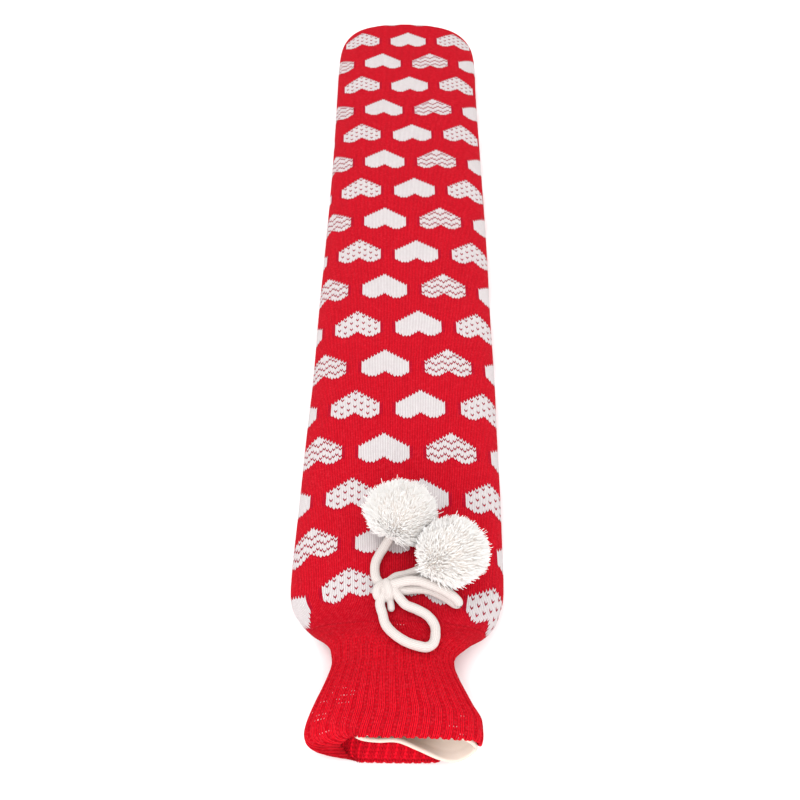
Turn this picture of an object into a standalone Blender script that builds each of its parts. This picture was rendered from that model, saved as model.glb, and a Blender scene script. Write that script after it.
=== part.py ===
"""Knitted cover of an extra-long hot water bottle, with the rubber mouth that shows in its neck.

The cover lies on its back.  +Y runs to its closed far end, the collar opens towards -Y and +Z is up.
The origin is at the middle of its length and width, on the surface that it lies on.
Sizes and tables are in millimetres, and MM turns them into Blender's metres.
"""

import math
import random
from collections import namedtuple

import bmesh
import bpy
import numpy as np

MM = 0.001

# Overall
FAR_END_Y = 377.2          # closed end of the cover
JOINT_Y = -299.3           # where the heart knit ends and the ribbed neck is linked on
MOUTH_Y = -372.3           # edge of the collar
SEAM_GAP = 0.3             # parting between pieces that touch

# Heart-knit body
BODY_WALL = 2.8
BODY_MID_Z = 14.0          # height of the widest line
BODY_SAG = 16.5            # depth of the lower half before it is pressed flat
POWER_TOP = 2.2            # superellipse powers of the section
POWER_LOW = 2.6
END_ROUND_Y = 298.7        # the plan starts to round here
END_POWERS = (4.4, 3.9)    # superellipse powers of the plan there, left and right
END_NOSE = 15.0            # length over which the thickness closes
BODY_AROUND = 44
END_STEPS = 8
END_TURN = 88.0            # degrees of the rounding that the rings cover, before the closing fan

BodyRow = namedtuple("BodyRow", "y half_width centre_x top")
BODY_ROWS = (
    BodyRow(-299.3, 54.6, 0.5, 31.4),
    BodyRow(-295.3, 59.1, 0.3, 31.7),
    BodyRow(-290.3, 62.6, -0.1, 32.0),
    BodyRow(-284.3, 65.5, -1.0, 32.3),
    BodyRow(-276.3, 67.8, -0.9, 32.6),
    BodyRow(-263.3, 68.7, -0.7, 32.9),
    BodyRow(-236.3, 68.8, -0.4, 33.2),
    BodyRow(-206.3, 68.8, 0.1, 33.0),
    BodyRow(-176.3, 68.6, 0.4, 33.3),
    BodyRow(-141.3, 68.4, 0.6, 33.8),
    BodyRow(-96.3, 68.1, 1.4, 33.5),
    BodyRow(-31.3, 67.9, 1.0, 33.9),
    BodyRow(48.7, 67.7, 1.4, 33.4),
    BodyRow(138.7, 67.1, 1.1, 33.8),
    BodyRow(213.7, 67.0, 0.3, 33.3),
    BodyRow(263.7, 67.2, -0.4, 33.0),
    BodyRow(298.7, 67.6, -0.6, 32.8),
)

# Ribbed neck and collar: the crest of the ribs
NECK_WALL = 2.6
RIB_COUNT = 32
RIB_DEPTH = 1.0
INNER_RIB = 0.5                        # the ribs show inside as well, shallower
RIB_PROFILE = (1.0, 1.0, 0.0, 0.0)     # crest, crest, trough, trough round one rib
SCALLOP = 0.9                          # how far each rib bulges past the collar's edge
LOWER_LIP = 2.8            # how far the lower lip reaches past the upper one
LOWER_LIP_END = 0.3        # share of the half width past which it fades out, on the right
LOWER_CORNER_IN = 4.6      # how far the lower right corner is rounded in, to the left
LOWER_CORNER_BACK = 3.0    # and away from the mouth
TUCK_START = 0.34          # share of the half width where the fold at the left of the mouth begins
TUCK_IN_X = 15.0           # how far the fold's edge is turned in, to the right
TUCK_IN_Y = 8.0            # and back into the mouth
TUCK_BULGE = 10.0          # how far the fold stands out before it turns in
TUCK_FLOOR = 7.0           # height to which the upper layer droops there
TUCK_DROOP = 0.72

NeckRow = namedtuple("NeckRow", "y half_width centre_x low top power tuck")
NECK_ROWS = (
    NeckRow(-299.6, 54.3, 0.5, 0.2, 31.4, 2.3, 0.0),
    NeckRow(-303.8, 47.7, 0.3, 0.5, 31.1, 2.3, 0.0),
    NeckRow(-309.3, 42.2, -0.2, 1.5, 31.6, 2.3, 0.0),
    NeckRow(-315.3, 38.3, -2.2, 2.0, 32.0, 2.3, 0.0),
    NeckRow(-322.3, 37.5, -2.4, 2.0, 32.0, 2.3, 0.0),
    NeckRow(-330.3, 39.9, -2.2, 1.5, 32.6, 2.4, 0.0),
    NeckRow(-338.3, 43.2, -1.8, 0.9, 33.4, 2.5, 0.0),
    NeckRow(-347.3, 47.2, -1.4, 0.6, 34.1, 2.6, 0.0),
    NeckRow(-355.3, 51.0, -1.0, 0.4, 34.7, 2.7, 0.0),
    NeckRow(-362.3, 52.4, -1.1, 0.3, 35.2, 2.8, 0.12),
    NeckRow(-367.8, 52.2, -1.1, 0.3, 35.4, 2.9, 0.36),
    NeckRow(-370.8, 51.2, -0.8, 0.3, 35.3, 2.9, 0.66),
    NeckRow(MOUTH_Y, 50.0, -0.4, 0.3, 35.0, 2.9, 1.0),
)

# Rubber mouth of the bottle: a short neck tube that opens into a flattened funnel
MOUTH_AROUND = 36
LIP_TURNS = 4                          # rows between the last two sections
MouthRow = namedtuple("MouthRow", "y half_width centre_x centre_z half_height wall")
MOUTH_ROWS = (
    MouthRow(-313.3, 12.0, -2.6, 17.0, 12.0, 3.0),
    MouthRow(-323.3, 12.4, -2.6, 17.0, 12.0, 3.0),
    MouthRow(-332.3, 17.0, -1.8, 17.2, 12.2, 2.8),
    MouthRow(-341.3, 23.5, 0.6, 17.7, 12.2, 2.5),
    MouthRow(-351.3, 30.6, 4.2, 18.5, 12.1, 2.2),
    MouthRow(-360.3, 34.9, 7.9, 19.2, 11.8, 2.0),
)
LIP_WALL = 1.9
LipPoint = namedtuple("LipPoint", "turn x y z")
LIP_POINTS = (                         # the rim, by its turn in degrees from the right end
    LipPoint(0, 46.2, -369.8, 17.0),
    LipPoint(28, 40.8, -368.3, 25.0),
    LipPoint(60, 29.4, -367.5, 30.4),
    LipPoint(90, 10.2, -367.3, 31.3),
    LipPoint(120, -9.0, -367.3, 30.0),
    LipPoint(152, -20.0, -367.5, 26.8),
    LipPoint(180, -25.9, -368.1, 22.8),
    LipPoint(208, -21.6, -368.7, 20.4),
    LipPoint(236, -11.2, -369.2, 19.4),
    LipPoint(258, 1.2, -369.9, 19.0),
    LipPoint(276, 12.7, -372.5, 14.6),
    LipPoint(294, 24.7, -375.9, 9.6),
    LipPoint(316, 35.2, -376.8, 8.0),
    LipPoint(338, 42.7, -373.7, 11.0),
)

# Tie: a soft tubular cord of two lengths, tied in a bow
CORD_DIAMETER = 6.0
CORD_STEP = 5.6                        # spacing of the points along each tube
CORD_RESOLUTION = 2
REST_LIFT = CORD_DIAMETER / 2 + 0.5    # a cord's centre above the knit it lies on

KNOT_CENTRE = (-6.8, -280.9)
KNOT_RADII = (7.0, 6.8, 5.3)
KNOT_BAND = 0.9                        # how far the middle turn stands proud
KNOT_BAND_WIDTH = 3.2
KNOT_BAND_SLANT = math.radians(21)     # turn of the middle turn from the cover's length
KNOT_ROUND = (20, 12)                  # the knot's faces round and from pole to pole
KNOT_ROOM = np.array((1.0, 1.0, 1.4))  # from the knot's radii to the ends of the cords

RoutePoint = namedtuple("RoutePoint", "x y lift")
LOOP_FRONT = (
    RoutePoint(-8.8, -283.7, REST_LIFT + 2.0),
    RoutePoint(-11.0, -289.9, REST_LIFT + 1.2),
    RoutePoint(-9.4, -296.2, REST_LIFT + 0.6),
    RoutePoint(-7.2, -303.1, REST_LIFT),
    RoutePoint(-1.8, -309.7, REST_LIFT),
    RoutePoint(5.6, -314.7, REST_LIFT),
    RoutePoint(12.8, -317.7, REST_LIFT),
    RoutePoint(18.4, -317.9, REST_LIFT),
    RoutePoint(22.4, -314.7, REST_LIFT),
    RoutePoint(23.4, -309.1, REST_LIFT),
    RoutePoint(21.8, -302.7, REST_LIFT),
    RoutePoint(17.6, -296.9, REST_LIFT),
    RoutePoint(11.4, -293.1, REST_LIFT + 0.4),
    RoutePoint(5.0, -290.7, REST_LIFT + 1.0),
    RoutePoint(1.8, -287.9, REST_LIFT + 2.0),
    RoutePoint(-2.0, -283.3, REST_LIFT + 3.0),
)
LOOP_RIGHT = (
    RoutePoint(-5.6, -279.9, REST_LIFT + 4.2),
    RoutePoint(1.8, -275.9, REST_LIFT + 6.2),
    RoutePoint(8.2, -273.3, REST_LIFT + 6.8),
    RoutePoint(16.8, -274.1, REST_LIFT + 7.0),
    RoutePoint(25.0, -277.1, REST_LIFT + 7.2),
    RoutePoint(32.2, -281.9, REST_LIFT + 7.4),
    RoutePoint(37.4, -287.3, REST_LIFT + 6.6),
    RoutePoint(39.4, -290.5, REST_LIFT + 3.4),
    RoutePoint(36.8, -289.3, REST_LIFT + 0.3),
    RoutePoint(31.8, -285.9, REST_LIFT),
    RoutePoint(24.6, -281.9, REST_LIFT),
    RoutePoint(16.6, -278.7, REST_LIFT),
    RoutePoint(8.6, -277.9, REST_LIFT),
    RoutePoint(2.2, -279.9, REST_LIFT + 0.6),
    RoutePoint(-4.2, -281.7, REST_LIFT + 1.6),
)
TAIL_LEFT = (
    RoutePoint(-9.0, -278.5, REST_LIFT + 1.8),
    RoutePoint(-13.4, -273.9, REST_LIFT + 1.0),
    RoutePoint(-14.8, -267.9, REST_LIFT + 0.3),
    RoutePoint(-14.6, -261.7, REST_LIFT),
    RoutePoint(-12.4, -255.7, REST_LIFT),
    RoutePoint(-9.4, -250.7, REST_LIFT + 0.8),
    RoutePoint(-6.2, -245.9, REST_LIFT + 3.8),
    RoutePoint(-2.8, -240.7, REST_LIFT + 10.0),
)
TAIL_RIGHT = (
    RoutePoint(-7.0, -277.9, REST_LIFT + 1.2),
    RoutePoint(-1.9, -271.3, REST_LIFT + 0.3),
    RoutePoint(4.4, -269.1, REST_LIFT + 0.2),
    RoutePoint(9.8, -267.5, REST_LIFT + 1.2),
    RoutePoint(14.8, -266.3, REST_LIFT + 3.6),
    RoutePoint(18.8, -265.7, REST_LIFT + 7.0),
    RoutePoint(25.0, -265.1, REST_LIFT + 12.0),
)
LEG = (
    RoutePoint(-4.1, -292.1, REST_LIFT - 0.9),
    RoutePoint(-4.3, -290.1, REST_LIFT - 0.7),
    RoutePoint(-4.6, -288.2, REST_LIFT - 0.5),
    RoutePoint(-5.1, -284.7, REST_LIFT - 0.2),
)
LEG_DIAMETER = 4.4                     # the cord is squeezed where it leaves the knit

# Pompoms
POMPOM_RADIUS = 24.6
POMPOM_CORE = 13.0
POMPOM_LOCKS = 150                     # locks of yarn on each pompom
LOCK_TAPER = 0.56
LOCK_LEAN = 0.10
LOCK_SPREAD = 0.06
POMPOM_SEAT = 21.6                     # height of the centre above the knit
ENTRY_ANGLE = math.radians(30)         # no lock stands this near the cord's way in
LOCK_CORD_STEP = 1.5
LOCK_CORD_ROOM = CORD_DIAMETER / 2 + 1.0   # from a lock's corners to a cord's centre
CORD_ROUTES = (LOOP_FRONT, LOOP_RIGHT, TAIL_LEFT, TAIL_RIGHT)
Pompom = namedtuple("Pompom", "name x y tail seed")
POMPOMS = (
    Pompom("pompom_left", 0.4, -234.5, TAIL_LEFT, 11),
    Pompom("pompom_right", 33.0, -264.5, TAIL_RIGHT, 23),
)

# Colours, roughness
RED_KNIT = ("red_knit", (0.62, 0.012, 0.03), 0.9)
RED_RIB = ("red_rib", (0.60, 0.010, 0.026), 0.9)
CREAM_RUBBER = ("cream_rubber", (0.80, 0.70, 0.56), 0.45)
WHITE_CORD = ("white_cord", (0.86, 0.82, 0.78), 0.85)
WHITE_YARN = ("white_yarn", (0.88, 0.84, 0.79), 0.95)


def curve_through(knots, values, at):
    """A smooth curve through the values at the knots, with each knot's slope taken from its neighbours."""
    knots = np.asarray(knots, float)
    values = np.asarray(values, float)
    at = np.atleast_1d(np.asarray(at, float))
    slopes = np.empty_like(values)
    slopes[1:-1] = (values[2:] - values[:-2]) / (knots[2:] - knots[:-2])
    slopes[0] = (values[1] - values[0]) / (knots[1] - knots[0])
    slopes[-1] = (values[-1] - values[-2]) / (knots[-1] - knots[-2])
    i = np.clip(np.searchsorted(knots, at, side="right") - 1, 0, len(knots) - 2)
    span = knots[i + 1] - knots[i]
    t = (at - knots[i]) / span
    return ((2 * t**3 - 3 * t**2 + 1) * values[i] + (t**3 - 2 * t**2 + t) * span * slopes[i]
            + (3 * t**2 - 2 * t**3) * values[i + 1] + (t**3 - t**2) * span * slopes[i + 1])


def column(rows, name):
    """One named column of a table."""
    return [getattr(row, name) for row in rows]


def oval_ring(half_width, centre_x, low, mid, top, powers, floor, count):
    """Points (x, z) round a superellipse pressed flat at floor, even by length from its lowest point."""
    a = np.linspace(-math.pi / 2, 3 * math.pi / 2, 1441)
    c, s = np.cos(a), np.sin(a)
    power = np.where(s >= 0, powers[0], powers[1])
    x = centre_x + half_width * np.sign(c) * np.abs(c) ** (2 / power)
    reach = np.where(s >= 0, top - mid, mid - low)
    z = np.maximum(mid + reach * np.sign(s) * np.abs(s) ** (2 / power), floor)
    run = np.concatenate([[0], np.cumsum(np.hypot(np.diff(x), np.diff(z)))])
    at = np.linspace(0, run[-1], count, endpoint=False)
    return np.stack([np.interp(at, run, x), np.interp(at, run, z)], axis=-1)


def body_section(y, inset):
    """Half width, centre, top and share of the height at y, for the outer face or one inset from it."""
    y_end = FAR_END_Y - inset
    base_y = min(y, END_ROUND_Y)
    half_width, centre_x, top = (
        float(curve_through(column(BODY_ROWS, "y"), column(BODY_ROWS, name), base_y)[0])
        for name in ("half_width", "centre_x", "top"))
    plan = max(y - END_ROUND_Y, 0) / (y_end - END_ROUND_Y)
    nose = max(y - (y_end - END_NOSE), 0) / END_NOSE
    left, right = ((half_width - inset) * max(1 - plan**power, 0) ** (1 / power) for power in END_POWERS)
    height_share = math.sqrt(max(1 - nose**2, 0))
    return (left + right) / 2, centre_x + (right - left) / 2, top - inset, height_share


def body_ring(y, inset):
    """The body's ring at y as an array of points (x, y, z)."""
    half_width, centre_x, top, share = body_section(y, inset)
    low = BODY_MID_Z - (BODY_SAG - inset) * share
    high = BODY_MID_Z + (top - BODY_MID_Z) * share
    ring = oval_ring(half_width, centre_x, low, BODY_MID_Z, high, (POWER_TOP, POWER_LOW), inset,
                     BODY_AROUND)
    return np.stack([ring[:, 0], np.full(len(ring), y), ring[:, 1]], axis=-1)


def knit_top(x, y):
    """Height of the cover's upper face at (x, y), on the body or on the crests of the neck's ribs."""
    if y > JOINT_Y:
        half_width, centre_x, top, _ = body_section(y, 0)
        mid, power = BODY_MID_Z, POWER_TOP
    else:
        knots = column(NECK_ROWS, "y")[::-1]
        half_width, centre_x, low, top, power = (
            float(curve_through(knots, column(NECK_ROWS, name)[::-1], y)[0])
            for name in ("half_width", "centre_x", "low", "top", "power"))
        mid = (low + top) / 2
    share = min(abs(x - centre_x) / half_width, 1)
    return mid + (top - mid) * (1 - share**power) ** (1 / power)


def add_ring(bm, points):
    """A ring of new vertices at points given in millimetres."""
    return [bm.verts.new(tuple(float(c) * MM for c in point)) for point in points]


def bridge(bm, ring_a, ring_b):
    """A band of faces between two rings of equal count."""
    count = len(ring_a)
    for i in range(count):
        j = (i + 1) % count
        bm.faces.new((ring_a[i], ring_a[j], ring_b[j], ring_b[i]))


def loft(bm, rings):
    """Rings of vertices joined by bands, as a list of the rings."""
    made = [add_ring(bm, ring) for ring in rings]
    for ring_a, ring_b in zip(made, made[1:]):
        bridge(bm, ring_a, ring_b)
    return made


def close_with_tip(bm, ring, tip):
    """A fan from a ring to one point."""
    apex = add_ring(bm, [tip])[0]
    for i, vert in enumerate(ring):
        bm.faces.new((vert, ring[(i + 1) % len(ring)], apex))


def make_material(finish):
    """A Principled material of one colour and roughness."""
    name, colour, roughness = finish
    material = bpy.data.materials.get(name) or bpy.data.materials.new(name)
    material.use_nodes = True
    shader = material.node_tree.nodes["Principled BSDF"]
    shader.inputs["Base Color"].default_value = (*colour, 1.0)
    shader.inputs["Roughness"].default_value = roughness
    shader.inputs["Metallic"].default_value = 0.0
    return material


def finish_object(name, bm, collection, finish, sharp_degrees=50):
    """A named object from a finished mesh, its faces pointing out and smooth but at sharp edges."""
    bmesh.ops.recalc_face_normals(bm, faces=bm.faces)
    mesh = bpy.data.meshes.new(name)
    bm.to_mesh(mesh)
    bm.free()
    mesh.shade_smooth()
    mesh.set_sharp_from_angle(angle=math.radians(sharp_degrees))
    mesh.materials.append(make_material(finish))
    item = bpy.data.objects.new(name, mesh)
    collection.objects.link(item)
    return item


def make_body(collection):
    """The heart-knit body: a closed, rounded far end and an open shoulder, with one wall all round."""
    outer_end = FAR_END_Y - END_ROUND_Y
    inner_end = outer_end - BODY_WALL
    turns = [math.radians(END_TURN * i / END_STEPS) for i in range(1, END_STEPS + 1)]
    outer_y = column(BODY_ROWS, "y") + [END_ROUND_Y + outer_end * math.sin(t) for t in turns]
    inner_y = column(BODY_ROWS, "y")[::2] + [END_ROUND_Y + inner_end * math.sin(t) for t in turns]
    bm = bmesh.new()
    outer = loft(bm, [body_ring(y, 0) for y in outer_y])
    inner = loft(bm, [body_ring(y, BODY_WALL) for y in inner_y])
    centre_x = BODY_ROWS[-1].centre_x
    close_with_tip(bm, outer[-1], (centre_x, FAR_END_Y, BODY_MID_Z))
    close_with_tip(bm, inner[-1], (centre_x, FAR_END_Y - BODY_WALL, BODY_MID_Z))
    bridge(bm, outer[0], inner[0])
    return finish_object("heart_body", bm, collection, RED_KNIT)


def neck_crests():
    """The face through the crests of the ribs, as an array [row][point round][x, y, z].

    Along the rows where tuck grows, the lower lip reaches further out than the upper one.  Left of
    TUCK_START of the half width the cloth droops, stands out and then turns in to the right.
    """
    count = RIB_COUNT * len(RIB_PROFILE)
    rings = []
    for row in NECK_ROWS:
        mid = (row.low + row.top) / 2
        ring = oval_ring(row.half_width, row.centre_x, row.low, mid, row.top,
                         (row.power, row.power), row.low, count)
        x, z = ring[:, 0], ring[:, 1]
        left = np.clip((-(x - row.centre_x) / row.half_width - TUCK_START) / (1 - TUCK_START), 0, 1)
        weight = left**2 * (3 - 2 * left)
        lower = np.clip((mid - z) / (mid - row.low), 0, 1)
        right = np.clip(((x - row.centre_x) / row.half_width - LOWER_LIP_END) / (1 - LOWER_LIP_END), 0, 1)
        upper = (z - row.low) / (row.top - row.low)
        turn_in = TUCK_IN_Y * row.tuck**4 * upper - TUCK_BULGE * row.tuck * (1 - row.tuck)
        reach = LOWER_LIP * (1 - right) - LOWER_CORNER_BACK * right
        y = row.y + weight * turn_in - reach * lower * row.tuck
        x = x + TUCK_IN_X * weight * row.tuck**1.5 - LOWER_CORNER_IN * lower * right * row.tuck
        z = z - np.maximum(z - TUCK_FLOOR, 0) * TUCK_DROOP * weight * row.tuck
        rings.append(np.stack([x, y, z], axis=-1))
    return np.array(rings)


def outward(grid):
    """Unit normals of a grid of rings, pointing away from the rings' middles."""
    along = np.gradient(grid, axis=0)
    around = np.roll(grid, -1, axis=1) - np.roll(grid, 1, axis=1)
    normal = np.cross(along, around)
    normal /= np.linalg.norm(normal, axis=-1, keepdims=True)
    away = grid[0] - grid[0].mean(axis=0)
    if (normal[0] * away).sum() < 0:
        normal = -normal
    return normal


def make_neck(collection):
    """The ribbed neck: shoulder, waist and flared collar, with raised ribs and a scalloped edge."""
    crests = neck_crests()
    normal = outward(crests)
    normal[0, :, 1] = 0
    normal[0] /= np.linalg.norm(normal[0], axis=-1, keepdims=True)
    rib = np.tile(RIB_PROFILE, RIB_COUNT)
    outer = crests - normal * (RIB_DEPTH * (1 - rib))[None, :, None]
    inner = crests - normal * (NECK_WALL - INNER_RIB * (1 - rib))[None, :, None]
    outer[-1, :, 1] -= SCALLOP * rib
    bm = bmesh.new()
    outer_rings = loft(bm, outer)
    inner_rings = loft(bm, inner)
    bridge(bm, outer_rings[0], inner_rings[0])
    bridge(bm, outer_rings[-1], inner_rings[-1])
    return finish_object("ribbed_neck", bm, collection, RED_RIB, 35)


def lip_ring(turns):
    """The funnel's rim at the given turns in degrees, closed and smooth."""
    rows = [LIP_POINTS[-1]._replace(turn=LIP_POINTS[-1].turn - 360), *LIP_POINTS,
            LIP_POINTS[0]._replace(turn=360), LIP_POINTS[1]._replace(turn=LIP_POINTS[1].turn + 360)]
    knots = column(rows, "turn")
    return np.stack([curve_through(knots, column(rows, name), turns) for name in ("x", "y", "z")],
                    axis=-1)


def mouth_grid():
    """The rubber mouth's outer face from the inner end of its tube to the funnel's rim."""
    turns = np.arange(MOUTH_AROUND) * 360 / MOUTH_AROUND
    c, s = np.cos(np.radians(turns)), np.sin(np.radians(turns))
    rings = [np.stack([row.centre_x + row.half_width * c, np.full(MOUTH_AROUND, row.y),
                       row.centre_z + row.half_height * s], axis=-1) for row in MOUTH_ROWS]
    rings.append(lip_ring(turns))
    knots = np.arange(len(rings))
    last = len(rings) - 1
    fine = np.concatenate([np.arange(last - 1), np.linspace(last - 1, last, LIP_TURNS)])
    flat = np.array(rings).reshape(len(rings), -1)
    grid = np.stack([curve_through(knots, flat[:, i], fine) for i in range(flat.shape[1])], axis=-1)
    walls = curve_through(knots, [row.wall for row in MOUTH_ROWS] + [LIP_WALL], fine)
    return grid.reshape(len(fine), MOUTH_AROUND, 3), walls


def make_mouth(collection):
    """The rubber mouth: an open tube and funnel of even wall, thinner towards the rim."""
    outer, walls = mouth_grid()
    normal = outward(outer)
    normal[0, :, 1] = 0
    normal[0] /= np.linalg.norm(normal[0], axis=-1, keepdims=True)
    inner = outer - normal * walls[:, None, None]
    bm = bmesh.new()
    outer_rings = loft(bm, outer)
    inner_rings = loft(bm, inner)
    bridge(bm, outer_rings[0], inner_rings[0])
    bridge(bm, outer_rings[-1], inner_rings[-1])
    return finish_object("bottle_mouth", bm, collection, CREAM_RUBBER)


def knot_centre():
    """The middle of the bow's knot, which lies on the knit."""
    x, y = KNOT_CENTRE
    return np.array([x, y, knit_top(x, y) + SEAM_GAP + KNOT_RADII[2]])


def end_disc(line, radius):
    """For each point of a line, the eight corners of a tube's end there."""
    along = np.gradient(line, axis=0)
    along /= np.linalg.norm(along, axis=1, keepdims=True)
    side = np.cross(along, (0.0, 0.0, 1.0))
    side /= np.linalg.norm(side, axis=1, keepdims=True)
    rise = np.cross(side, along)
    turn = np.arange(8) * math.pi / 4
    return (line[:, None] + radius * (np.cos(turn)[:, None] * side[:, None]
                                      + np.sin(turn)[:, None] * rise[:, None]))


def outside_pieces(line, radius):
    """Which points of a line can end a tube clear of the knot and of both pompoms' cores."""
    corners = np.concatenate([end_disc(line, radius), line[:, None]], axis=1)
    swell = np.array(KNOT_RADII) + KNOT_ROOM
    clear = (((corners - knot_centre()) / swell) ** 2).sum(axis=-1).min(axis=1) > 1
    for pompom in POMPOMS:
        away = np.linalg.norm(corners - pompom_centre(pompom), axis=-1).min(axis=1)
        clear &= away > POMPOM_CORE + SEAM_GAP
    return clear


def route_points(route, step, radius=CORD_DIAMETER / 2):
    """Points an even step apart on a smooth curve through a route that follows the knit's upper face.

    The route runs into the knot or a pompom's core, and the points stop just outside it.
    """
    at = np.array([(p.x, p.y, knit_top(p.x, p.y) + p.lift) for p in route])
    knots = np.concatenate([[0], np.cumsum(np.linalg.norm(np.diff(at, axis=0), axis=1))])
    fine = np.linspace(0, knots[-1], 400)
    line = np.stack([curve_through(knots, at[:, i], fine) for i in range(3)], axis=-1)
    clear = np.flatnonzero(outside_pieces(line, radius))
    line = line[clear[0]:clear[-1] + 1]
    run = np.concatenate([[0], np.cumsum(np.linalg.norm(np.diff(line, axis=0), axis=1))])
    even = np.linspace(0, run[-1], max(int(round(run[-1] / step)), 2) + 1)
    return np.stack([np.interp(even, run, line[:, i]) for i in range(3)], axis=-1)


def make_cord(name, route, collection, diameter=CORD_DIAMETER):
    """One length of the tie as a curve with a round bevel and filled ends."""
    points = route_points(route, CORD_STEP, diameter / 2)
    curve = bpy.data.curves.new(name, "CURVE")
    curve.dimensions = "3D"
    curve.bevel_depth = diameter / 2 * MM
    curve.bevel_resolution = CORD_RESOLUTION
    curve.use_fill_caps = True
    spline = curve.splines.new("POLY")
    spline.points.add(len(points) - 1)
    for target, point in zip(spline.points, points):
        target.co = (*(float(c) * MM for c in point), 1.0)
    curve.materials.append(make_material(WHITE_CORD))
    item = bpy.data.objects.new(name, curve)
    collection.objects.link(item)
    return item


def make_knot(collection):
    """The bow's knot: a flattened ball whose middle turn stands proud as a band."""
    x, y, centre_z = knot_centre()
    bm = bmesh.new()
    bmesh.ops.create_uvsphere(bm, u_segments=KNOT_ROUND[0], v_segments=KNOT_ROUND[1], radius=1.0)
    for vert in bm.verts:
        across = (vert.co.x * KNOT_RADII[0] * math.cos(KNOT_BAND_SLANT)
                  + vert.co.y * KNOT_RADII[1] * math.sin(KNOT_BAND_SLANT))
        band = KNOT_BAND * math.exp(-((across / KNOT_BAND_WIDTH) ** 2)) * max(vert.co.z, 0) ** 0.5
        swell = 1 + band / KNOT_RADII[2]
        vert.co = ((x + vert.co.x * KNOT_RADII[0]) * MM, (y + vert.co.y * KNOT_RADII[1]) * MM,
                   (centre_z + vert.co.z * KNOT_RADII[2] * swell) * MM)
    return finish_object("tie_knot", bm, collection, WHITE_CORD, 80)


def pompom_centre(pompom):
    """The middle of a pompom that is seated on the knit."""
    return np.array([pompom.x, pompom.y, knit_top(pompom.x, pompom.y) + POMPOM_SEAT])


def lock_reach(centre, out, corners, radius, other, cords):
    """The longest reach of a lock whose tip clears the knit, the other pompom's half and the cords."""
    towards = other - centre
    half = np.linalg.norm(towards) / 2
    towards = towards / (2 * half)
    for reach in np.linspace(radius, POMPOM_CORE + 1.0, 40):
        tips = centre + out * reach + corners
        body = np.concatenate([tips, tips - out * (reach - POMPOM_CORE) / 2])
        above = all(tip[2] > knit_top(tip[0], tip[1]) + SEAM_GAP for tip in tips)
        before = ((tips - centre) @ towards < half - SEAM_GAP).all()
        apart = np.linalg.norm(body[:, None] - cords[None], axis=-1).min() > LOCK_CORD_ROOM
        if above and before and apart:
            break
    return reach


def make_pompom(pompom, collection):
    """A pompom: locks of yarn of three sides that stand out all round from a fused core."""
    rng = random.Random(pompom.seed)
    centre = pompom_centre(pompom)
    other = next(pompom_centre(p) for p in POMPOMS if p.name != pompom.name)
    entry = route_points(pompom.tail, CORD_STEP)[-1] - centre
    entry /= np.linalg.norm(entry)
    cords = np.concatenate([route_points(route, LOCK_CORD_STEP) for route in CORD_ROUTES])
    bm = bmesh.new()
    bmesh.ops.create_icosphere(bm, subdivisions=3, radius=POMPOM_CORE)
    faces = list(bm.faces)
    rng.shuffle(faces)
    roots = []
    for face in faces:
        out = np.array(face.calc_center_median()) / POMPOM_CORE
        if math.acos(max(min(float(out @ entry), 1), -1)) > ENTRY_ANGLE:
            roots.append(face)
        if len(roots) == POMPOM_LOCKS:
            break
    made = bmesh.ops.extrude_discrete_faces(bm, faces=roots)["faces"]
    for face in made:
        middle = np.array(face.calc_center_median())
        lean = np.array([rng.gauss(0, LOCK_LEAN) for _ in range(3)])
        out = middle / np.linalg.norm(middle) + lean
        out /= np.linalg.norm(out)
        radius = POMPOM_RADIUS * (1 + rng.uniform(-LOCK_SPREAD, LOCK_SPREAD))
        corners = np.array([(np.array(vert.co) - middle) * LOCK_TAPER for vert in face.verts])
        reach = lock_reach(centre, out, corners, radius, other, cords)
        for vert, corner in zip(face.verts, corners):
            vert.co = tuple(out * reach + corner)
    for vert in bm.verts:
        vert.co = tuple(float(c) * MM for c in (np.array(vert.co) + centre))
    return finish_object(pompom.name, bm, collection, WHITE_YARN, 40)


def clear_scene():
    """Removes the scene's objects."""
    for item in list(bpy.data.objects):
        bpy.data.objects.remove(item, do_unlink=True)


def main():
    """Builds every piece of the cover."""
    clear_scene()
    collection = bpy.data.collections.new("hot_water_bottle_cover")
    bpy.context.scene.collection.children.link(collection)
    make_body(collection)
    make_neck(collection)
    make_mouth(collection)
    make_knot(collection)
    make_cord("tie_leg", LEG, collection, LEG_DIAMETER)
    make_cord("tie_loop_front", LOOP_FRONT, collection)
    make_cord("tie_loop_right", LOOP_RIGHT, collection)
    make_cord("tie_tail_left", TAIL_LEFT, collection)
    make_cord("tie_tail_right", TAIL_RIGHT, collection)
    for pompom in POMPOMS:
        make_pompom(pompom, collection)


main()
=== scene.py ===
"""Looks of the knitted hot water bottle cover, with its tie, pompoms and the bottle's rubber mouth.

The cover lies on its back on the surface z = 0.  +Y runs to its closed far end, its collar opens
towards -Y and +Z is up.  Every length is in metres.
"""

import logging
import math
from dataclasses import dataclass
from enum import Enum
from typing import Any, NamedTuple, Sequence

import bmesh
import bpy
import numpy as np
from mathutils import Matrix


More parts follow.
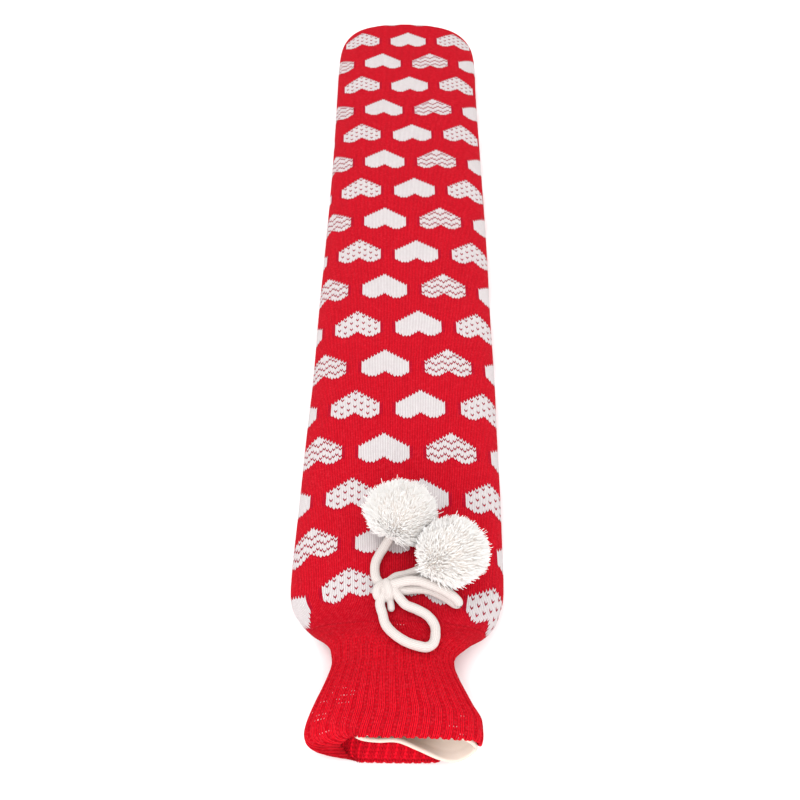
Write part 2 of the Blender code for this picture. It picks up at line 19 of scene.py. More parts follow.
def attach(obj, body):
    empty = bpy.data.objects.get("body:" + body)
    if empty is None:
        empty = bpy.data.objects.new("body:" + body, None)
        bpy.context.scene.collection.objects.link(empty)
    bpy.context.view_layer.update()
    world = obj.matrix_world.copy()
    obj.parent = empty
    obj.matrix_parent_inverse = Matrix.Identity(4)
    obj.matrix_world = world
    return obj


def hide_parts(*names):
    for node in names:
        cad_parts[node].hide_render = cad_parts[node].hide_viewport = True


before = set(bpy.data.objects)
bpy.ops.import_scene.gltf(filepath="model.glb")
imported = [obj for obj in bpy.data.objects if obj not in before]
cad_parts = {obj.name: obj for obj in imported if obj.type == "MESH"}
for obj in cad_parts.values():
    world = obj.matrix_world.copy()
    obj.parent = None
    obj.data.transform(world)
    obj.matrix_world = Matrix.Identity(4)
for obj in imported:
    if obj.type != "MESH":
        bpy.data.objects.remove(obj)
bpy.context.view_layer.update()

log = logging.getLogger("cover")
BODY = "root"                       # the frame's only body
STITCH_MAP = "stitches"             # map of a knit, in wales and rows
STRAND_MAP = "strand"               # map of the yarn: a random number, and the place out of the middle
SEAM_GAP = 0.0003                   # between things that rest on one another
MERGE_GAP = 1e-6                    # points nearer than this become one
SECTION_POINTS = 1441               # points of a section, from which its even ones are read
DOME_TURNS = (0, 30, 60, 80)        # degrees from a tube's end to the rings of its dome
HAIR = 1e-4                         # keeps the rounding of a quotient from falling short of a whole number
RIB_ROWS = 32                       # knit rows of the ribbed neck, from the joint to its edge
RIB_WALES = 3                       # two knit wales and the trough beside them
CORD_SAMPLE = 0.0015                # between the places of a cord that the pompoms keep clear of

Array = np.ndarray


# ---- Curves and surfaces


def smooth_through(knots: Sequence[float], values: Sequence[float], at: Any) -> Array:
    """A smooth curve through the values at the knots.

    Between two knots the value is the cubic whose ends have the values there, and whose slopes there
    are those of the chords between each knot's two neighbours.

    Args:
        knots: rising parameters.
        values: the value at each knot.
        at: where to read the curve.

    Returns:
        The values at those places.
    """
    knots, values = np.asarray(knots, float), np.asarray(values, float)
    at = np.atleast_1d(np.asarray(at, float))
    slopes = np.empty_like(values)
    slopes[1:-1] = (values[2:] - values[:-2]) / (knots[2:] - knots[:-2])
    slopes[0] = (values[1] - values[0]) / (knots[1] - knots[0])
    slopes[-1] = (values[-1] - values[-2]) / (knots[-1] - knots[-2])
    i = np.clip(np.searchsorted(knots, at, side="right") - 1, 0, len(knots) - 2)
    span = knots[i + 1] - knots[i]
    t = (at - knots[i]) / span
    return ((2 * t**3 - 3 * t**2 + 1) * values[i] + (t**3 - 2 * t**2 + t) * span * slopes[i]
            + (3 * t**2 - 2 * t**3) * values[i + 1] + (t**3 - t**2) * span * slopes[i + 1])


def column(rows: Sequence[NamedTuple], name: str) -> list[float]:
    """One named column of a table."""
    return [getattr(row, name) for row in rows]


def ease(value: Any) -> Array:
    """A soft step: 0 below 0, 1 above 1, and 3t^2 - 2t^3 between."""
    t = np.clip(value, 0, 1)
    return t * t * (3 - 2 * t)


def unit(vectors: Array) -> Array:
    """Vectors of length 1 along the last axis."""
    return vectors / np.maximum(np.linalg.norm(vectors, axis=-1, keepdims=True), 1e-12)


def outward(grid: Array) -> Array:
    """Unit normals of a grid of closed rings, as the cross product of its two directions.

    Args:
        grid: rings of points, as [row][point round][x, y, z].

    Returns:
        Normals that point away from the first ring's middle.
    """
    along = np.gradient(grid, axis=0)
    around = np.roll(grid, -1, axis=1) - np.roll(grid, 1, axis=1)
    normal = unit(np.cross(along, around))
    away = grid[0] - grid[0].mean(axis=0)
    return -normal if (normal[0] * away).sum() < 0 else normal


def outward_from_end(grid: Array) -> Array:
    """Unit normals of a grid, of which the first ring's lie square to the cover's length.

    Args:
        grid: rings of points, as [row][point round][x, y, z].

    Returns:
        Normals that point away from the first ring's middle.
    """
    normal = outward(grid)
    normal[0, :, 1] = 0
    normal[0] = unit(normal[0])
    return normal


def run_along(points: Array) -> Array:
    """Distance run along a line of points, from its first one."""
    return np.concatenate([[0], np.cumsum(np.linalg.norm(np.diff(points, axis=0), axis=-1))])


def even_line(points: Array, step: float) -> Array:
    """The same line with its points about a step apart.

    Args:
        points: the line.
        step: the distance wanted between points.

    Returns:
        Points on the line, the first and last as they were.
    """
    run = run_along(points)
    at = np.linspace(0, run[-1], max(int(round(run[-1] / step)), 2) + 1)
    return np.stack([np.interp(at, run, points[:, k]) for k in range(3)], axis=-1)


class Oval(NamedTuple):
    """A superellipse section: its half width, centre, heights, and the powers of its two halves.

    No point of it lies below its floor.
    """

    half_width: float
    centre_x: float
    low: float
    mid: float
    top: float
    power_top: float
    power_low: float
    floor: float

    def ring(self, count: int) -> Array:
        """Points (x, z) round the section, even by length from its lowest point.

        With c and s the cosine and sine of the turn, x is the half width times c to the power 2/p, and
        z is the half height times s to the power 2/p, pressed flat at the floor.

        Args:
            count: how many points.

        Returns:
            The points, as [point][x, z].
        """
        a = np.linspace(-math.pi / 2, 3 * math.pi / 2, SECTION_POINTS)
        c, s = np.cos(a), np.sin(a)
        power = np.where(s >= 0, self.power_top, self.power_low)
        x = self.centre_x + self.half_width * np.sign(c) * np.abs(c) ** (2 / power)
        reach = np.where(s >= 0, self.top - self.mid, self.mid - self.low)
        z = np.maximum(self.mid + reach * np.sign(s) * np.abs(s) ** (2 / power), self.floor)
        run = np.concatenate([[0], np.cumsum(np.hypot(np.diff(x), np.diff(z)))])
        at = np.linspace(0, run[-1], count, endpoint=False)
        return np.stack([np.interp(at, run, x), np.interp(at, run, z)], axis=-1)

    def height(self, x: float) -> float:
        """Height of the upper half at x."""
        share = min(abs(x - self.centre_x) / self.half_width, 1)
        return self.mid + (self.top - self.mid) * (1 - share**self.power_top) ** (1 / self.power_top)


class Shell:
    """Grids of quads gathered into one closed mesh, with a UV map by face corner."""

    def __init__(self, map_name: str) -> None:
        """Starts an empty mesh.

        Args:
            map_name: its UV map's name.
        """
        self.map_name = map_name
        self.points: list[Array] = []
        self.corners: list[Array] = []
        self.maps: list[Array] = []
        self.count = 0

    def add(self, grid: Array, uv: Array, flip: bool = False) -> None:
        """Adds a grid of rings closed round, each joined to the next by quads.

        Args:
            grid: points as [row][point round][x, y, z].
            uv: their map as [row][point round + 1][u, v], with the first column again at the end.
            flip: turns the faces over.
        """
        rows, around = grid.shape[:2]
        i, j = np.meshgrid(np.arange(rows - 1), np.arange(around), indexing="ij")
        k = (j + 1) % around
        quads = np.stack([i * around + j, i * around + k, (i + 1) * around + k, (i + 1) * around + j], -1)
        maps = np.stack([uv[i, j], uv[i, j + 1], uv[i + 1, j + 1], uv[i + 1, j]], axis=2)
        if flip:
            quads, maps = quads[..., ::-1], maps[:, :, ::-1]
        self.points.append(grid.reshape(-1, 3))
        self.corners.append(quads.reshape(-1, 4) + self.count)
        self.maps.append(maps.reshape(-1, 2))
        self.count += rows * around

    def build(self, name: str, material: bpy.types.Material) -> bpy.types.Object:
        """Makes the object, with doubles merged and every face smooth.

        Args:
            name: the piece's name.
            material: its finish.

        Returns:
            The object, at the origin.
        """
        mesh = mesh_from(name, np.concatenate(self.points), np.concatenate(self.corners),
                         self.map_name, np.concatenate(self.maps))
        work = bmesh.new()
        work.from_mesh(mesh)
        bmesh.ops.remove_doubles(work, verts=work.verts, dist=MERGE_GAP)
        bmesh.ops.recalc_face_normals(work, faces=work.faces)
        work.to_mesh(mesh)
        work.free()
        return object_from(mesh, material)


def mesh_from(name: str, points: Array, quads: Array, map_name: str, uv: Array) -> bpy.types.Mesh:
    """A mesh of faces with equal corner counts and one UV map.

    Args:
        name: the mesh's name.
        points: vertices as [vertex][x, y, z].
        quads: corners of each face.
        map_name: the UV map's name.
        uv: the map at each corner in turn.

    Returns:
        The mesh.
    """
    mesh = bpy.data.meshes.new(name)
    faces, sides = quads.shape
    mesh.vertices.add(len(points))
    mesh.vertices.foreach_set("co", points.astype(np.float32).ravel())
    mesh.loops.add(faces * sides)
    mesh.loops.foreach_set("vertex_index", quads.astype(np.int32).ravel())
    mesh.polygons.add(faces)
    mesh.polygons.foreach_set("loop_start", np.arange(0, faces * sides, sides, dtype=np.int32))
    layer = mesh.uv_layers.new(name=map_name)
    mesh.update(calc_edges=True)
    layer.uv.foreach_set("vector", uv.astype(np.float32).ravel())
    mesh.validate(clean_customdata=False)
    return mesh


def object_from(mesh: bpy.types.Mesh, material: bpy.types.Material) -> bpy.types.Object:
    """An object at the origin for a mesh, smooth and with one material.

    Args:
        mesh: its mesh.
        material: its finish.

    Returns:
        The object, linked to the scene.
    """
    mesh.shade_smooth()
    mesh.materials.append(material)
    item = bpy.data.objects.new(mesh.name, mesh)
    bpy.context.scene.collection.objects.link(item)
    return item


def tube_grid(line: Array, radius: Array, sides: int) -> Array:
    """Rings round a line, each of the given radius and square to the line there, with a dome at each end.

    Args:
        line: the centreline's points.
        radius: the radius at each point.
        sides: points round each ring.

    Returns:
        Points as [row][point round][x, y, z].
    """
    along = unit(np.gradient(line, axis=0))
    side = unit(np.cross(along, (0.0, 0.0, 1.0)))
    rise = np.cross(side, along)
    turn = np.radians(DOME_TURNS)
    first = line[0] - along[0] * (radius[0] * np.cos(turn))[:, None]
    last = line[-1] + along[-1] * (radius[-1] * np.cos(turn[::-1]))[:, None]
    line = np.concatenate([first, line, last])
    radius = np.concatenate([radius[0] * np.sin(turn), radius, radius[-1] * np.sin(turn[::-1])])
    side, rise = (np.pad(part, ((len(turn), len(turn)), (0, 0)), mode="edge") for part in (side, rise))
    a = np.arange(sides) * 2 * math.pi / sides
    spokes = np.cos(a)[:, None] * side[:, None] + np.sin(a)[:, None] * rise[:, None]
    return line[:, None] + radius[:, None, None] * spokes


def tube_map(grid: Array, length_scale: float) -> Array:
    """A tube's map: u runs once round it, and v is the distance along it over a scale.

    Args:
        grid: the tube's rings.
        length_scale: the length in which v rises by 1.

    Returns:
        The map as [row][point round + 1][u, v].
    """
    middle = grid.mean(axis=1)
    v = run_along(middle) / length_scale
    u = np.linspace(0, 1, grid.shape[1] + 1)
    return np.stack(np.broadcast_arrays(u[None, :], v[:, None]), axis=-1)


# ---- Shader maths


class Book:
    """The node tree of one material, and the one method that adds nodes to it."""

    def __init__(self, name: str) -> None:
        """Starts a material with an empty tree.

        Args:
            name: the material's name.
        """
        self.material = bpy.data.materials.new(name)
        self.material.use_nodes = True
        self.tree = self.material.node_tree
        self.tree.nodes.clear()

    def node(self, kind: str, settings: dict[str, Any] | None = None,
             inputs: dict[Any, Any] | None = None, output: Any = 0) -> "Value":
        """Adds one node.

        Args:
            kind: the node's type.
            settings: its options, set first.  "stops" holds a ramp's places and colours.
            inputs: values or links by socket.
            output: the socket that the result stands for.

        Returns:
            The output, ready for arithmetic.
        """
        made = self.tree.nodes.new(kind)
        for key, value in (settings or {}).items():
            if key == "stops":
                set_stops(made.color_ramp, value)
            else:
                setattr(made, key, value)
        for key, value in (inputs or {}).items():
            if isinstance(value, Value):
                self.tree.links.new(value.socket, made.inputs[key])
            else:
                made.inputs[key].default_value = value
        return Value(self, made.outputs[output]) if made.outputs else None

    def mix(self, factor: Any, first: Any, second: Any) -> "Value":
        """Colour between two others.

        Args:
            factor: 0 for the first and 1 for the second.
            first: a colour, or the output of a node.
            second: the same.

        Returns:
            The colour.
        """
        colours = {key: value if isinstance(value, Value) else (*value, 1.0)
                   for key, value in ((6, first), (7, second))}
        return self.node("ShaderNodeMix", {"data_type": "RGBA"}, {0: factor, **colours}, 2)

    def noise(self, place: "Value", scale: float, detail: float = 2.0) -> "Value":
        """Smooth noise from 0 to 1 at a place."""
        return self.node("ShaderNodeTexNoise", None,
                         {"Vector": place, "Scale": scale, "Detail": detail})

    def map_uv(self, name: str) -> tuple["Value", "Value"]:
        """The two coordinates of a UV map.

        Args:
            name: the map's name.

        Returns:
            Its u and its v.
        """
        place = self.node("ShaderNodeUVMap", {"uv_map": name})
        split = self.node("ShaderNodeSeparateXYZ", None, {0: place})
        return split, split.other(1)

    def place(self) -> "Value":
        """The place on the object, in metres."""
        return self.node("ShaderNodeTexCoord", None, None, "Object")

    def random(self, u: "Value", v: "Value") -> "Value":
        """One random number from 0 to 1 for each pair of whole numbers."""
        pair = self.node("ShaderNodeCombineXYZ", None, {0: u, 1: v})
        return self.node("ShaderNodeTexWhiteNoise", {"noise_dimensions": "2D"}, {"Vector": pair})

    def finish(self, uniform: dict[str, Any], height: "Value | None" = None,
               depth: float = 0.0) -> bpy.types.Material:
        """Closes the tree with a Principled shader.

        Args:
            uniform: its sockets' values or links.
            height: relief from 0 to 1.
            depth: the relief's depth in metres.

        Returns:
            The finished material.
        """
        inputs = dict(uniform)
        if height is not None:
            inputs["Normal"] = self.node("ShaderNodeBump", None,
                                         {"Strength": 1.0, "Distance": depth, "Height": height})
        shader = self.node("ShaderNodeBsdfPrincipled", None, inputs)
        self.node("ShaderNodeOutputMaterial", None, {"Surface": shader})
        return self.material


def set_stops(ramp: bpy.types.ColorRamp, stops: Sequence[tuple[float, Sequence[float]]]) -> None:
    """Gives a ramp its places and colours.

    Args:
        ramp: the ramp.
        stops: each place from 0 to 1, and the colour there.
    """
    while len(ramp.elements) < len(stops):
        ramp.elements.new(1.0)
    for element, (place, colour) in zip(ramp.elements, stops):
        element.position = place
        element.color = (*colour, 1.0)


class Value:
    """A shader socket on which arithmetic adds Math nodes."""

    def __init__(self, book: Book, socket: Any) -> None:
        """Wraps one output socket of a book."""
        self.book = book
        self.socket = socket

    def other(self, output: Any) -> "Value":
        """Another output of the same node."""
        return Value(self.book, self.socket.node.outputs[output])

    def math(self, operation: str, *terms: Any) -> "Value":
        """A Math node on these terms in turn."""
        return self.book.node("ShaderNodeMath", {"operation": operation}, dict(enumerate(terms)))

    def __add__(self, other: Any) -> "Value":
        """Sum."""
        return self.math("ADD", self, other)

    def __sub__(self, other: Any) -> "Value":
        """Difference."""
        return self.math("SUBTRACT", self, other)

    def __rsub__(self, other: Any) -> "Value":
        """Difference from a number."""
        return self.math("SUBTRACT", other, self)

    def __mul__(self, other: Any) -> "Value":
        """Product."""
        return self.math("MULTIPLY", self, other)

    def __truediv__(self, other: Any) -> "Value":
        """Quotient."""
        return self.math("DIVIDE", self, other)

    def __mod__(self, other: Any) -> "Value":
        """Remainder, never below 0."""
        return self.math("FLOORED_MODULO", self, other)

    def __pow__(self, other: Any) -> "Value":
        """Power."""
        return self.math("POWER", self, other)

    def __abs__(self) -> "Value":
        """Size without its sign."""
        return self.math("ABSOLUTE", self)

    def __gt__(self, other: Any) -> "Value":
        """1 where above, else 0."""
        return self.math("GREATER_THAN", self, other)

    def __lt__(self, other: Any) -> "Value":
        """1 where below, else 0."""
        return self.math("LESS_THAN", self, other)

    def floor(self) -> "Value":
        """The whole number below."""
        return self.math("FLOOR", self)

    def fraction(self) -> "Value":
        """What is left above the whole number."""
        return self.math("FRACT", self)

    def sine(self) -> "Value":
        """Sine of an angle."""
        return self.math("SINE", self)

    def at_least(self, other: Any) -> "Value":
        """The larger of the two."""
        return self.math("MAXIMUM", self, other)

    def at_most(self, other: Any) -> "Value":
        """The smaller of the two."""
        return self.math("MINIMUM", self, other)

    def fade(self, start: float, end: float) -> "Value":
        """Soft step from 0 at the start to 1 at the end."""
        return self.book.node("ShaderNodeMapRange", {"interpolation_type": "SMOOTHSTEP"},
                              {0: self, 1: start, 2: end, 3: 0.0, 4: 1.0})

    __radd__ = __add__
    __rmul__ = __mul__


# ---- Finishes

Colour = tuple[float, float, float]


class Stitch(NamedTuple):
    """One knit stitch at each place: where it is in the cloth, and its relief."""

    wale: Value
    row: Value
    height: Value


@dataclass(frozen=True)
class KnitLook:
    """How knit stitches look: two slanted legs to a stitch, whose V has its point at the mouth's side."""

    slant: float = 2.2              # rows that a leg climbs from the wale's middle to its edge, times two
    floor: float = 0.55             # height between the threads of one wale
    relief: float = 0.00060
    fibre_scale: float = 2600.0
    fibre_share: float = 0.15       # of the relief
    gap_shade_floor: float = 0.10        # brightness of the painted shade at the bottom of the gaps between threads
    uneven: float = 0.25            # how much the stitches differ in brightness
    streaks: tuple[float, float] = (0.8, 0.06)      # how fast the brightness drifts by wale and by row
    streak_depth: float = 0.5
    patch_scale: float = 24.0
    patch_depth: float = 0.2
    fuzz_scale: float = 800.0
    fuzz_band: tuple[float, float] = (0.42, 0.78)   # noise at which the painted highlights of loose fibres begin and are full
    fuzz_highlight_share: float = 0.30
    # painted highlight: the paler colour of light on loose fibres
    fuzz_highlight_colour: Colour = (0.81, 0.042, 0.066)
    rough: float = 0.95
    halo: float = 0.02              # the faint light in the loose fibres at a grazing view
    halo_rough: float = 0.6
    halo_tint: Colour = (1.0, 0.55, 0.60)
    shine: float = 0.04

    def stitch(self, wale: Value, row: Value) -> Stitch:
        """The stitch at a place of the cloth, counted in wales and rows.

        A leg's height is the sine of its place across the half wale, times a rounded thread
        whose place is the row less the slant times the distance from the wale's middle.

        Args:
            wale: place across the cloth.
            row: place along the cloth.

        Returns:
            The stitch's wale and row as whole numbers, and its relief from 0 to 1.
        """
        leg = abs(wale.fraction() - 0.5)
        lifted = row - leg * self.slant
        across = (leg * (2 * math.pi)).sine().at_least(0.0)
        thread = (lifted.fraction() * math.pi).sine().at_least(0.0)
        return Stitch(wale.floor(), lifted.floor(), across * (thread * (1 - self.floor) + self.floor))

    def light(self, book: Book, stitch: Stitch, height: Value, uv: Sequence[Value]) -> Value:
        """Yarn brightness: painted shade in the gaps, and uneven from stitch to stitch and along the
        wales.

        Args:
            book: the material's nodes.
            stitch: the stitch there.
            height: the relief there, from 0 to 1.
            uv: the place in the cloth, in wales and rows.

        Returns:
            Brightness from 0 to 1.
        """
        streak = book.node("ShaderNodeCombineXYZ", None,
                           {0: uv[0] * self.streaks[0], 1: uv[1] * self.streaks[1]})
        drift = (book.noise(streak, 1.0, 3.0) * self.streak_depth
                 + book.noise(book.place(), self.patch_scale) * self.patch_depth
                 - (self.streak_depth + self.patch_depth) / 2)
        yarn = book.random(stitch.wale, stitch.row) * self.uneven - self.uneven / 2
        # painted shade: the yarn darkens towards the bottom of the gaps between threads
        gap_shading = height * (1 - self.gap_shade_floor) + self.gap_shade_floor
        return (gap_shading * (1 + drift + yarn)).at_most(1.0)

    def fuzz_highlights(self, book: Book, colour: Value) -> Value:
        """Red yarn with painted highlights of the loose fibres that stand out of it here and there.

        Args:
            book: the material's nodes.
            colour: the yarn's colour.

        Returns:
            The colour with the painted highlights.
        """
        # painted highlights where loose fibres catch the light
        loose = book.noise(book.place(), self.fuzz_scale, 4.0).fade(*self.fuzz_band)
        return book.mix(loose * self.fuzz_highlight_share, colour, self.fuzz_highlight_colour)

    def fibre(self, book: Book) -> Value:
        """Fine noise of the yarn's fibres, from 0 to 1."""
        return book.noise(book.place(), self.fibre_scale, 3.0)

    def finish(self, book: Book, colour: Value, height: Value) -> bpy.types.Material:
        """Closes the tree of a knit: rough, with a halo of loose fibres and fine fibres in its relief.

        Args:
            book: the material's nodes.
            colour: the knit's colour.
            height: the stitches' relief from 0 to 1.

        Returns:
            The finished material.
        """
        height = height * (1 - self.fibre_share) + self.fibre(book) * self.fibre_share
        return book.finish({"Base Color": colour, "Roughness": self.rough,
                            "Sheen Weight": self.halo, "Sheen Roughness": self.halo_rough,
                            "Sheen Tint": (*self.halo_tint, 1.0), "Specular IOR Level": self.shine},
                           height, self.relief)


class Motif(Enum):
    """What every other heart of a band is filled with."""

    DOTS = "single red stitches"
    ZIGZAG = "red zigzag lines"


@dataclass(frozen=True)
class HeartChart:
    """The hearts' places, counted in stitches: rows of hearts, each half a repeat on from the next."""

    rows: int = 25                  # knit rows from one row of hearts to the next
    wales: int = 20                 # wales from one heart to the next
    heart_start: int = 4            # knit rows of a band before a heart's notch
    heart_rows: int = 16
    heart_wales: int = 15
    notch_wales: int = 3            # from a heart's middle to the top of its lobes
    lobe_wales: int = 5             # from a heart's middle to where its lobes slope down
    middle: int = 10                # a heart's middle wale within its place
    row_shift: int = -5             # from the frame's middle to the first band
    wale_shift: int = 18            # from the cover's middle line to a heart's place
    brick: int = 11                 # sideways step of every other band
    first_row: int = -200           # plain red from here to the neck
    rim_recess_shade: float = 0.45        # how much painted recess shade the red gets right round a heart, where 1 is within one

    def masks(self, stitch: Stitch) -> tuple[Value, Value]:
        """Where the white stitches are, and how much painted recess shade the red stitches get.

        A heart has its tip at row 1 and its notch past row 13.  At c wales from its middle it runs
        from row 1 + c to row 16 less the wales short of 3 and less the wales past 5.

        Args:
            stitch: the stitch to colour.

        Returns:
            1 on the hearts' white stitches, and painted recess shade on the red in and right round a
            heart.
        """
        row = stitch.row + self.row_shift
        dotted = 1 - (row / self.rows + HAIR).floor() % 2
        count = self.heart_start + self.heart_rows - row % self.rows
        across = stitch.wale + self.wale_shift - dotted * self.brick
        filled = (across / self.wales + HAIR).floor() % 2
        place = across % self.wales
        c = abs(place - self.middle)
        half = self.heart_wales / 2
        notch, slope = (self.notch_wales - c).at_least(0), (c - self.lobe_wales).at_least(0)
        last = self.heart_rows + 0.5 - notch - slope
        worked = row > self.first_row - 0.5
        heart = (count > c + 0.5) * (count < last) * (c < half) * worked
        around = (count > c - 0.5) * (count < last + 1) * (c < half + 1) * worked
        wale = place - (self.middle - (self.heart_wales + 1) / 2)
        red = (self.filling(Motif.DOTS, wale, count) * dotted
               + self.filling(Motif.ZIGZAG, wale, count) * (1 - dotted))
        white = heart * (1 - red * filled)
        return white, around * (1 - white) * (self.rim_recess_shade + heart * (1 - self.rim_recess_shade))

    @staticmethod
    def filling(motif: Motif, wale: Value, row: Value) -> Value:
        """1 on the red stitches of a filled heart.

        Dots are on every second wale and row, where their numbers' sum leaves 2 over fours.  Zigzag
        lines lie every four rows and rise and fall by two stitches.

        Args:
            motif: what fills it.
            wale: wale of the heart, counted from 1 at its left.
            row: row of the heart, counted from 1 at its tip.

        Returns:
            1 or 0.
        """
        if motif is Motif.DOTS:
            even = (wale % 2 < 0.5) * (row % 2 < 0.5)
            return even * (abs((wale + row) % 4 - 2) < 0.5)
        wave = 2 - abs((wale + 2) % 4 - 2)
        line = (row - wave + 0.5) % 4
        return (line < 1) * (row - wave > 2.5)


@dataclass(frozen=True)
class HeartKnit:
    """Two-colour stocking stitch with hearts, with painted shade where the neck draws it in."""

    name: str = "heart_knit"
    red: Colour = (0.655, 0.0040, 0.0165)
    # the red in painted shade, at the bottom of the gaps
    red_in_shade: Colour = (0.283, 0.000, 0.005)
    # painted recess shade: dark maroon on the red in and beside the hearts
    recess_shade: Colour = (0.189, 0.000, 0.0245)
    recess_shade_share: float = 0.75
    white: Colour = (0.735, 0.700, 0.700)
    # the white in painted shade, at the bottom of the gaps
    white_in_shade: Colour = (0.52, 0.44, 0.45)
    drawn_in: tuple[float, float] = (0.272, 0.298)     # where the body narrows to the neck, from and to, and gets painted shade
    drawn_shade: float = 0.25
    seam_from: float = 0.2990       # the plain red seam round the far end: from here on
    seam_height: float = 0.0140
    seam_half: float = 0.0009
    look: KnitLook = KnitLook()
    chart: HeartChart = HeartChart()

    def make(self) -> bpy.types.Material:
        """The knit: red, white on the hearts' stitches, and painted recess shade on the red by the hearts.

        Returns:
            The material.
        """
        book = Book(self.name)
        uv = book.map_uv(STITCH_MAP)
        stitch = self.look.stitch(*uv)
        white, recess_shade = self.chart.masks(stitch)
        place = book.node("ShaderNodeSeparateXYZ", None, {0: book.place()})
        y, z = place.other(1), place.other(2)
        unseamed = 1 - (y > self.seam_from) * (abs(z - self.seam_height) < self.seam_half)
        white, recess_shade = white * unseamed, recess_shade * unseamed
        light = self.look.light(book, stitch, stitch.height, uv)
        # painted shade where the body is drawn in to the neck
        light = light * (1 - (y * -1.0).fade(*self.drawn_in) * self.drawn_shade)
        # painted recess shade on the red in and right round the hearts
        red = book.mix(recess_shade * self.recess_shade_share, book.mix(light, self.red_in_shade, self.red), self.recess_shade)
        red = self.look.fuzz_highlights(book, red)
        colour = book.mix(white, red, book.mix(light, self.white_in_shade, self.white))
        return self.look.finish(book, colour, stitch.height)


class Thin(NamedTuple):
    """A place where the stretched rib lets the white inside show through: its middle and radius."""

    x: float
    y: float
    radius: float


@dataclass(frozen=True)
class RibKnit:
    """Two by one rib in red: two knit wales to a rib, and a recessed purl wale between, in painted shade.
    """

    name: str = "rib_knit"
    red: Colour = (0.84, 0.0042, 0.0175)
    # the red in painted shade, at the bottom of the gaps
    red_in_shade: Colour = (0.25, 0.000, 0.004)
    # the red near the joint, darker to match the body's painted shade there
    joint_shaded_red: Colour = (0.59, 0.0030, 0.0130)
    # the red in painted shade near the joint
    joint_red_in_shade: Colour = (0.283, 0.000, 0.005)
    # painted light: a brighter red for the inner side, which lies in shade
    inner_lit_red: Colour = (1.00, 0.0060, 0.0250)
    inside: Colour = (0.72, 0.36, 0.38)     # what shows through the thin places
    grow_rows: tuple[float, float] = (0.5, 6.0)     # rows from the joint in which the ribs rise
    turn_rows: tuple[float, float] = (0.05, 0.6)    # rows past the edge in which the inner side begins
    wander: float = 0.12            # how far the ribs stray sideways, in ribs
    wander_scale: float = 60.0
    purl_floor: float = 0.04        # relief of the recessed wale: at least, its knots, and how they differ
    purl_height: float = 0.30
    purl_spread: float = 0.30
    groove: float = 0.20            # shade between two wales: throughout, and more at each row
    groove_dot_shade: float = 0.60
    groove_power: int = 4
    # painted shade: in the troughs outside, and between the troughs inside
    trough_shade: float = 0.30
    inner_shade: float = 0.06
    # painted light that lifts the inner side's brightness
    inner_light_lift: float = 0.85
    speck_share: float = 0.15
    speck_floor: float = 0.012      # the white shows through the upper layer only, above this height
    hole_width: float = 0.15        # of a wale to either side, and of a row
    hole_height: float = 0.26
    look: KnitLook = KnitLook(slant=1.7, floor=0.6, relief=0.00080, gap_shade_floor=0.25, uneven=0.2)

    thin_places = (
        Thin(-0.043, -0.357, 0.012),
        Thin(-0.030, -0.351, 0.010),
        Thin(0.038, -0.363, 0.009),
        Thin(-0.036, -0.297, 0.004),
        Thin(0.006, -0.295, 0.009),
    )

    def make(self) -> bpy.types.Material:
        """The rib: painted light on its wales, painted shade between, and softer painted light in the
        neck.

        Returns:
            The material.
        """
        book = Book(self.name)
        rib, row = book.map_uv(STITCH_MAP)
        wander = book.noise(book.place(), self.wander_scale) * self.wander - self.wander / 2
        grown = (row * -1.0).fade(*self.grow_rows)
        inner = (row * -1.0 - RIB_ROWS).fade(*self.turn_rows)
        rib = rib + wander
        wale = rib.fraction() * RIB_WALES
        trough = wale > RIB_WALES - 1
        stitch = self.look.stitch(wale.at_most(RIB_WALES - 0.001), row + wander * RIB_WALES)
        stitch = stitch._replace(wale=rib.floor() * RIB_WALES + wale.floor())
        knot = abs(row.fraction() - 0.5) * 2
        bump = book.random(rib.floor(), row.floor()) * self.purl_spread + self.purl_height
        relief = book.node("ShaderNodeMix", {"data_type": "FLOAT"},
                           {0: trough * grown, 2: stitch.height, 3: knot * bump + self.purl_floor})
        light = self.look.light(book, stitch, relief, (rib * RIB_WALES, row))
        # painted light that lifts the inner side of the neck
        light = light + (1 - light) * inner * self.inner_light_lift
        # painted shade along the edges of each wale, darker at each row
        edge = (abs(wale.fraction() - 0.5) * 2) ** self.groove_power
        light = light * (1 - edge * grown * (knot * self.groove_dot_shade + self.groove))
        # painted shade in the troughs outside, and between them inside
        trough_and_inner_shade = trough * (1 - inner) * self.trough_shade + (1 - trough) * inner * self.inner_shade
        light = light * (1 - trough_and_inner_shade * grown)
        # towards the joint the red takes on the body's painted shade
        red = book.mix(inner, book.mix(grown, self.joint_shaded_red, self.red), self.inner_lit_red)
        # painted shade: the red goes to its shaded colour where the painted light is low
        colour = book.mix(light, book.mix(grown, self.joint_red_in_shade, self.red_in_shade), red)
        colour = self.look.fuzz_highlights(book, colour)
        beside = abs(wale - (wale + 0.5).floor()) < self.hole_width
        hole = beside * (row.fraction() < self.hole_height)
        colour = book.mix(self.specks(book, stitch) * hole, colour, self.inside)
        return self.look.finish(book, colour, relief)

    def specks(self, book: Book, stitch: Stitch) -> Value:
        """The few stitches, inside the thin places, beside which the white shows.

        Args:
            book: the material's nodes.
            stitch: the stitch there.

        Returns:
            1 on those stitches, else 0.
        """
        place = book.node("ShaderNodeSeparateXYZ", None, {0: book.place()})
        x, y, z = place, place.other(1), place.other(2)
        near = None
        for spot in self.thin_places:
            away = ((x - spot.x) ** 2 + (y - spot.y) ** 2) ** 0.5
            inside = (away < spot.radius) * (z > self.speck_floor)
            near = inside if near is None else near.at_least(inside)
        return near * (book.random(stitch.row, stitch.wale) < self.speck_share)


